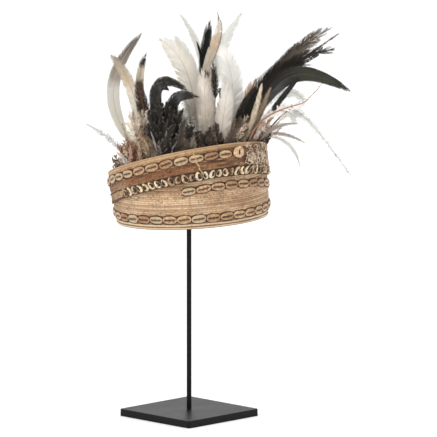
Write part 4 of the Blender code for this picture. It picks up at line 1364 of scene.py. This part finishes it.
def featherShaft(look, stray=(0.0, 0.0, 0.0)):
    x, y = (share * hat["crownRadius"] for share in look["base"])
    base = np.array([x, y, crownTop(x, y) + hat["gap"]])
    tipX, tipY, tipZ = look["tip"]
    tip = np.array([tipX * plume["reach"], tipY * plume["depth"], hat["rimHeight"] + tipZ * plume["height"]])
    tip = tip + np.array(stray)
    chord = math.hypot(tip[0] - base[0], tip[2] - base[2])
    depth = tip[1] - base[1]
    afterBase = base + heading(look["lean"]) * chord * look["rise"]
    afterBase[1] += depth * look["rise"]
    beforeTip = tip - heading(look["arrive"]) * chord * look["reach"]
    beforeTip[1] -= depth * look["reach"]
    return Shaft(base, afterBase, beforeTip, tip, look["turn"], kink=look["kink"])


def camel(name, ending):
    first, *rest = name.split("_")
    return first + "".join(part.capitalize() for part in rest) + ending


def makeFeather(name, row, seed):
    *shape, extra = row
    look = {**usualLook, **dict(zip(featherColumns, shape)), **extra}
    rng = np.random.default_rng(seed)
    style = barbs[look["barb"]]
    shaft = featherShaft(look)
    bare = look.get("vaneFrom", kinds[look["kind"]][0] * 0.8)
    full = look["width"] * plume["widestBlade"] / 2
    thinned = lambda share: 1 - look["slim"] * share ** 4
    outline = lambda share: bladeShare(look["kind"], share) ** look["blunt"] * thinned(share)
    widthAt = lambda share: np.maximum(full * outline(share), plume["leastWidth"])
    heap = Heap("along", "across", "strand", "shaft")
    growVane(heap, shaft, widthAt, bare, plume["vaneEnd"], style, rng)
    growQuill(heap, shaft, plume["quillRadius"] * look.get("quillScale", 0.6 + 0.4 * look["width"]))
    for stray, size, vaneFrom, vaneTo in look["company"]:
        beside = featherShaft(look, stray)
        thin = lambda share: np.maximum(full * size * outline(share), plume["leastWidth"])
        growVane(heap, beside, thin, vaneFrom, vaneTo, style, rng)
        growQuill(heap, beside, plume["quillRadius"] * 0.7)
    finish = vaneFinish(camel(name, "Vane"), look)
    heap.piece(camel(name, "Feather"), finish, look["material"] + "_feather", "feather_" + name)


for number, (featherName, featherRow) in enumerate(feathers.items()):
    makeFeather(featherName, featherRow, 100 + number)
print("feathers are set")


# Down inside the rim

# Zones of short soft hackles. Angles run from the front to the right in degrees; ring is how far
# from the hat's axis they stand, lean how far they tip outward, drift how far sideways, curve how
# far they bow over, and the colours run from the darkest hackle to the palest.
zoneColumns = ("angles", "count", "ring", "length", "wide", "lean", "drift", "curve", "dark", "pale")
down = {
    "front": (
        ((-64, -54), 14, (0.074, 0.087), (0.036, 0.048), 0.0110, 0.20, -0.25, 0.4,
         (150, 134, 120), (210, 200, 190)),
        ((-66, -47), 26, (0.081, 0.088), (0.042, 0.056), 0.0120, 0.08, 0.00, 0.4,
         (128, 86, 68), (206, 166, 144)),
        ((-68, -46), 26, (0.064, 0.082), (0.070, 0.092), 0.0140, 0.02, -0.10, 0.3,
         (182, 166, 146), (224, 214, 200)),
        ((-52, -24), 44, (0.064, 0.088), (0.044, 0.066), 0.0140, 0.10, -0.30, 0.6,
         (88, 66, 47), (224, 198, 166)),
        ((-38, -22), 20, (0.070, 0.088), (0.036, 0.050), 0.0110, 0.05, 0.05, 0.4,
         (84, 72, 62), (172, 160, 148)),
        ((-30, -4), 46, (0.050, 0.086), (0.050, 0.076), 0.0160, 0.05, 0.15, 0.7,
         (22, 19, 17), (72, 62, 53)),
        ((-8, 4), 14, (0.060, 0.086), (0.036, 0.052), 0.0140, 0.05, 0.10, 0.5,
         (40, 34, 29), (150, 138, 124)),
        ((-36, -19), 20, (0.056, 0.080), (0.078, 0.100), 0.0150, 0.02, 0.05, 0.4,
         (20, 18, 16), (58, 50, 43)),
        # Thin pale hackles painted as highlights: they stand for glints on the glossy black feathers
        ((-27, -14), 5, (0.082, 0.088), (0.044, 0.062), 0.0028, 0.04, 0.10, 0.3,
         (140, 138, 138), (214, 214, 218)),
        ((0, 26), 44, (0.060, 0.088), (0.034, 0.050), 0.0140, 0.05, 0.05, 0.5,
         (48, 39, 31), (148, 132, 114)),
        ((22, 38), 8, (0.046, 0.060), (0.078, 0.096), 0.0160, 0.00, 0.00, 0.1,
         (150, 138, 122), (206, 196, 182)),
        ((22, 44), 30, (0.060, 0.086), (0.044, 0.062), 0.0140, 0.00, 0.30, 0.7,
         (30, 24, 20), (92, 78, 66)),
        ((36, 78), 64, (0.056, 0.087), (0.044, 0.064), 0.0140, 0.10, 0.45, 0.6,
         (72, 58, 46), (204, 184, 162)),
        ((56, 94), 44, (0.050, 0.084), (0.048, 0.072), 0.0110, 0.60, 0.10, 0.3,
         (158, 130, 114), (236, 220, 208)),
        ((78, 96), 14, (0.078, 0.088), (0.028, 0.038), 0.0100, 0.40, 0.15, 0.4,
         (44, 36, 30), (120, 102, 88)),
    ),
    "back": (
        ((98, 150), 30, (0.066, 0.087), (0.028, 0.044), 0.0115, 0.30, -0.20, 0.5,
         (72, 58, 46), (176, 158, 138)),
        ((146, 220), 44, (0.064, 0.087), (0.030, 0.048), 0.0120, 0.20, 0.10, 0.5,
         (34, 28, 24), (104, 88, 74)),
        ((214, 292), 44, (0.066, 0.087), (0.026, 0.042), 0.0115, 0.30, 0.20, 0.5,
         (122, 104, 90), (208, 194, 178)),
    ),
    "middle": (
        ((0, 360), 70, (0.034, 0.066), (0.034, 0.052), 0.0125, 0.10, 0.15, 0.4,
         (44, 36, 29), (132, 116, 98)),
        ((0, 360), 26, (0.004, 0.036), (0.034, 0.052), 0.0125, 0.05, 0.15, 0.4,
         (66, 56, 46), (176, 164, 148)),
    ),
}
hackle = {  # how much each strays from its zone's values, and what all have alike
    "stray": {"lean": 0.10, "drift": 0.22}, "curve": (0.6, 1.3), "wide": (0.75, 1.15), "turn": 28,
    "bare": 0.10, "quillRadius": 0.00035, "leastWidth": 0.0006, "lift": 0.0004,
}


def growHackle(heap, zone, angle, rng):
    length = rng.uniform(*zone["length"])
    base = onHat(np.array(angle), rng.uniform(*zone["ring"]), raised(crownTop, hackle["lift"]))
    out = np.array([math.sin(angle), -math.cos(angle), 0.0])
    sideways = np.array([math.cos(angle), math.sin(angle), 0.0])
    high = np.array([0, 0, 1.0])
    lean, drift = (zone[part] + rng.normal(0, stray) for part, stray in hackle["stray"].items())
    curve = zone["curve"] * rng.uniform(*hackle["curve"])
    way = unit(high + out * lean * 0.6)
    over = unit(high * (1 - 0.75 * curve) + out * lean * 1.3 + sideways * drift * (1 + curve))
    tip = base + (way * 0.62 + over * 0.38) * length
    shaft = Shaft(base, base + way * length * 0.36, tip - over * length * 0.30, tip,
                  rng.uniform(-hackle["turn"], hackle["turn"]), flat=out)
    full = zone["wide"] / 2 * rng.uniform(*hackle["wide"])
    outline = lambda share: np.sin(math.pi * np.clip(share, 0.02, 1) ** 0.85) ** 0.45
    widthAt = lambda share: np.maximum(full * outline(share), hackle["leastWidth"])
    share = rng.uniform() ** 1.3
    tint = np.array(tone(*(np.array(zone["dark"]) * (1 - share) + np.array(zone["pale"]) * share)))
    growVane(heap, shaft, widthAt, hackle["bare"], plume["vaneEnd"], barbs["loose"], rng, tint=tint)
    growQuill(heap, shaft, hackle["quillRadius"], sides=3, rings=8, tint=tint * 0.7)


def makeDown(name, place, seed, *nodes):
    rng = np.random.default_rng(seed)
    heap = Heap("along", "across", "strand", "shaft", "tint")
    for row in down[place]:
        zone = dict(zip(zoneColumns, row))
        low, high = (math.radians(angle) for angle in zone["angles"])
        for order in range(zone["count"]):
            growHackle(heap, zone, low + (high - low) * (order + rng.uniform(0, 1)) / zone["count"], rng)
    heap.piece(name, downFinish, "down", *nodes)


def tintFinish(name):
    fluff = Finish(name, Roughness=0.7, Sheen_Weight=0.08, Sheen_Roughness=0.5, Specular_IOR_Level=0.18)
    along, across, strand = (fluff.mark(mark) for mark in ("along", "across", "strand"))
    mottle = fluff.noise(fluff.position(), 260.0, 4.0, 0.6)
    colour = fluff.shade(fluff.mark("tint", "Color"), mottle * 0.9 + strand * 0.8 + 0.25)
    # Pale tips and a darker heart, as on small body hackles
    pale = across.between(0.45, 1.0) * mottle.between(0.45, 0.65) * 0.35
    colour = fluff.mix(pale, colour, tone(196, 182, 164))
    heart = (1 - across.between(0.05, 0.4)) * along.between(0.15, 0.5) * 0.35
    fluff.feed("Base Color", fluff.shade(colour, 1 - heart))
    fluff.bump(strand * 0.5 + mottle * 0.5, 0.0001, 0.3)
    return fluff


downFinish = tintFinish("brownGreyDown")
makeDown("downFront", "front", 61, "down_front")
makeDown("downBack", "back", 62, "down_back")
makeDown("downMiddle", "middle", 63)
print("down is set")
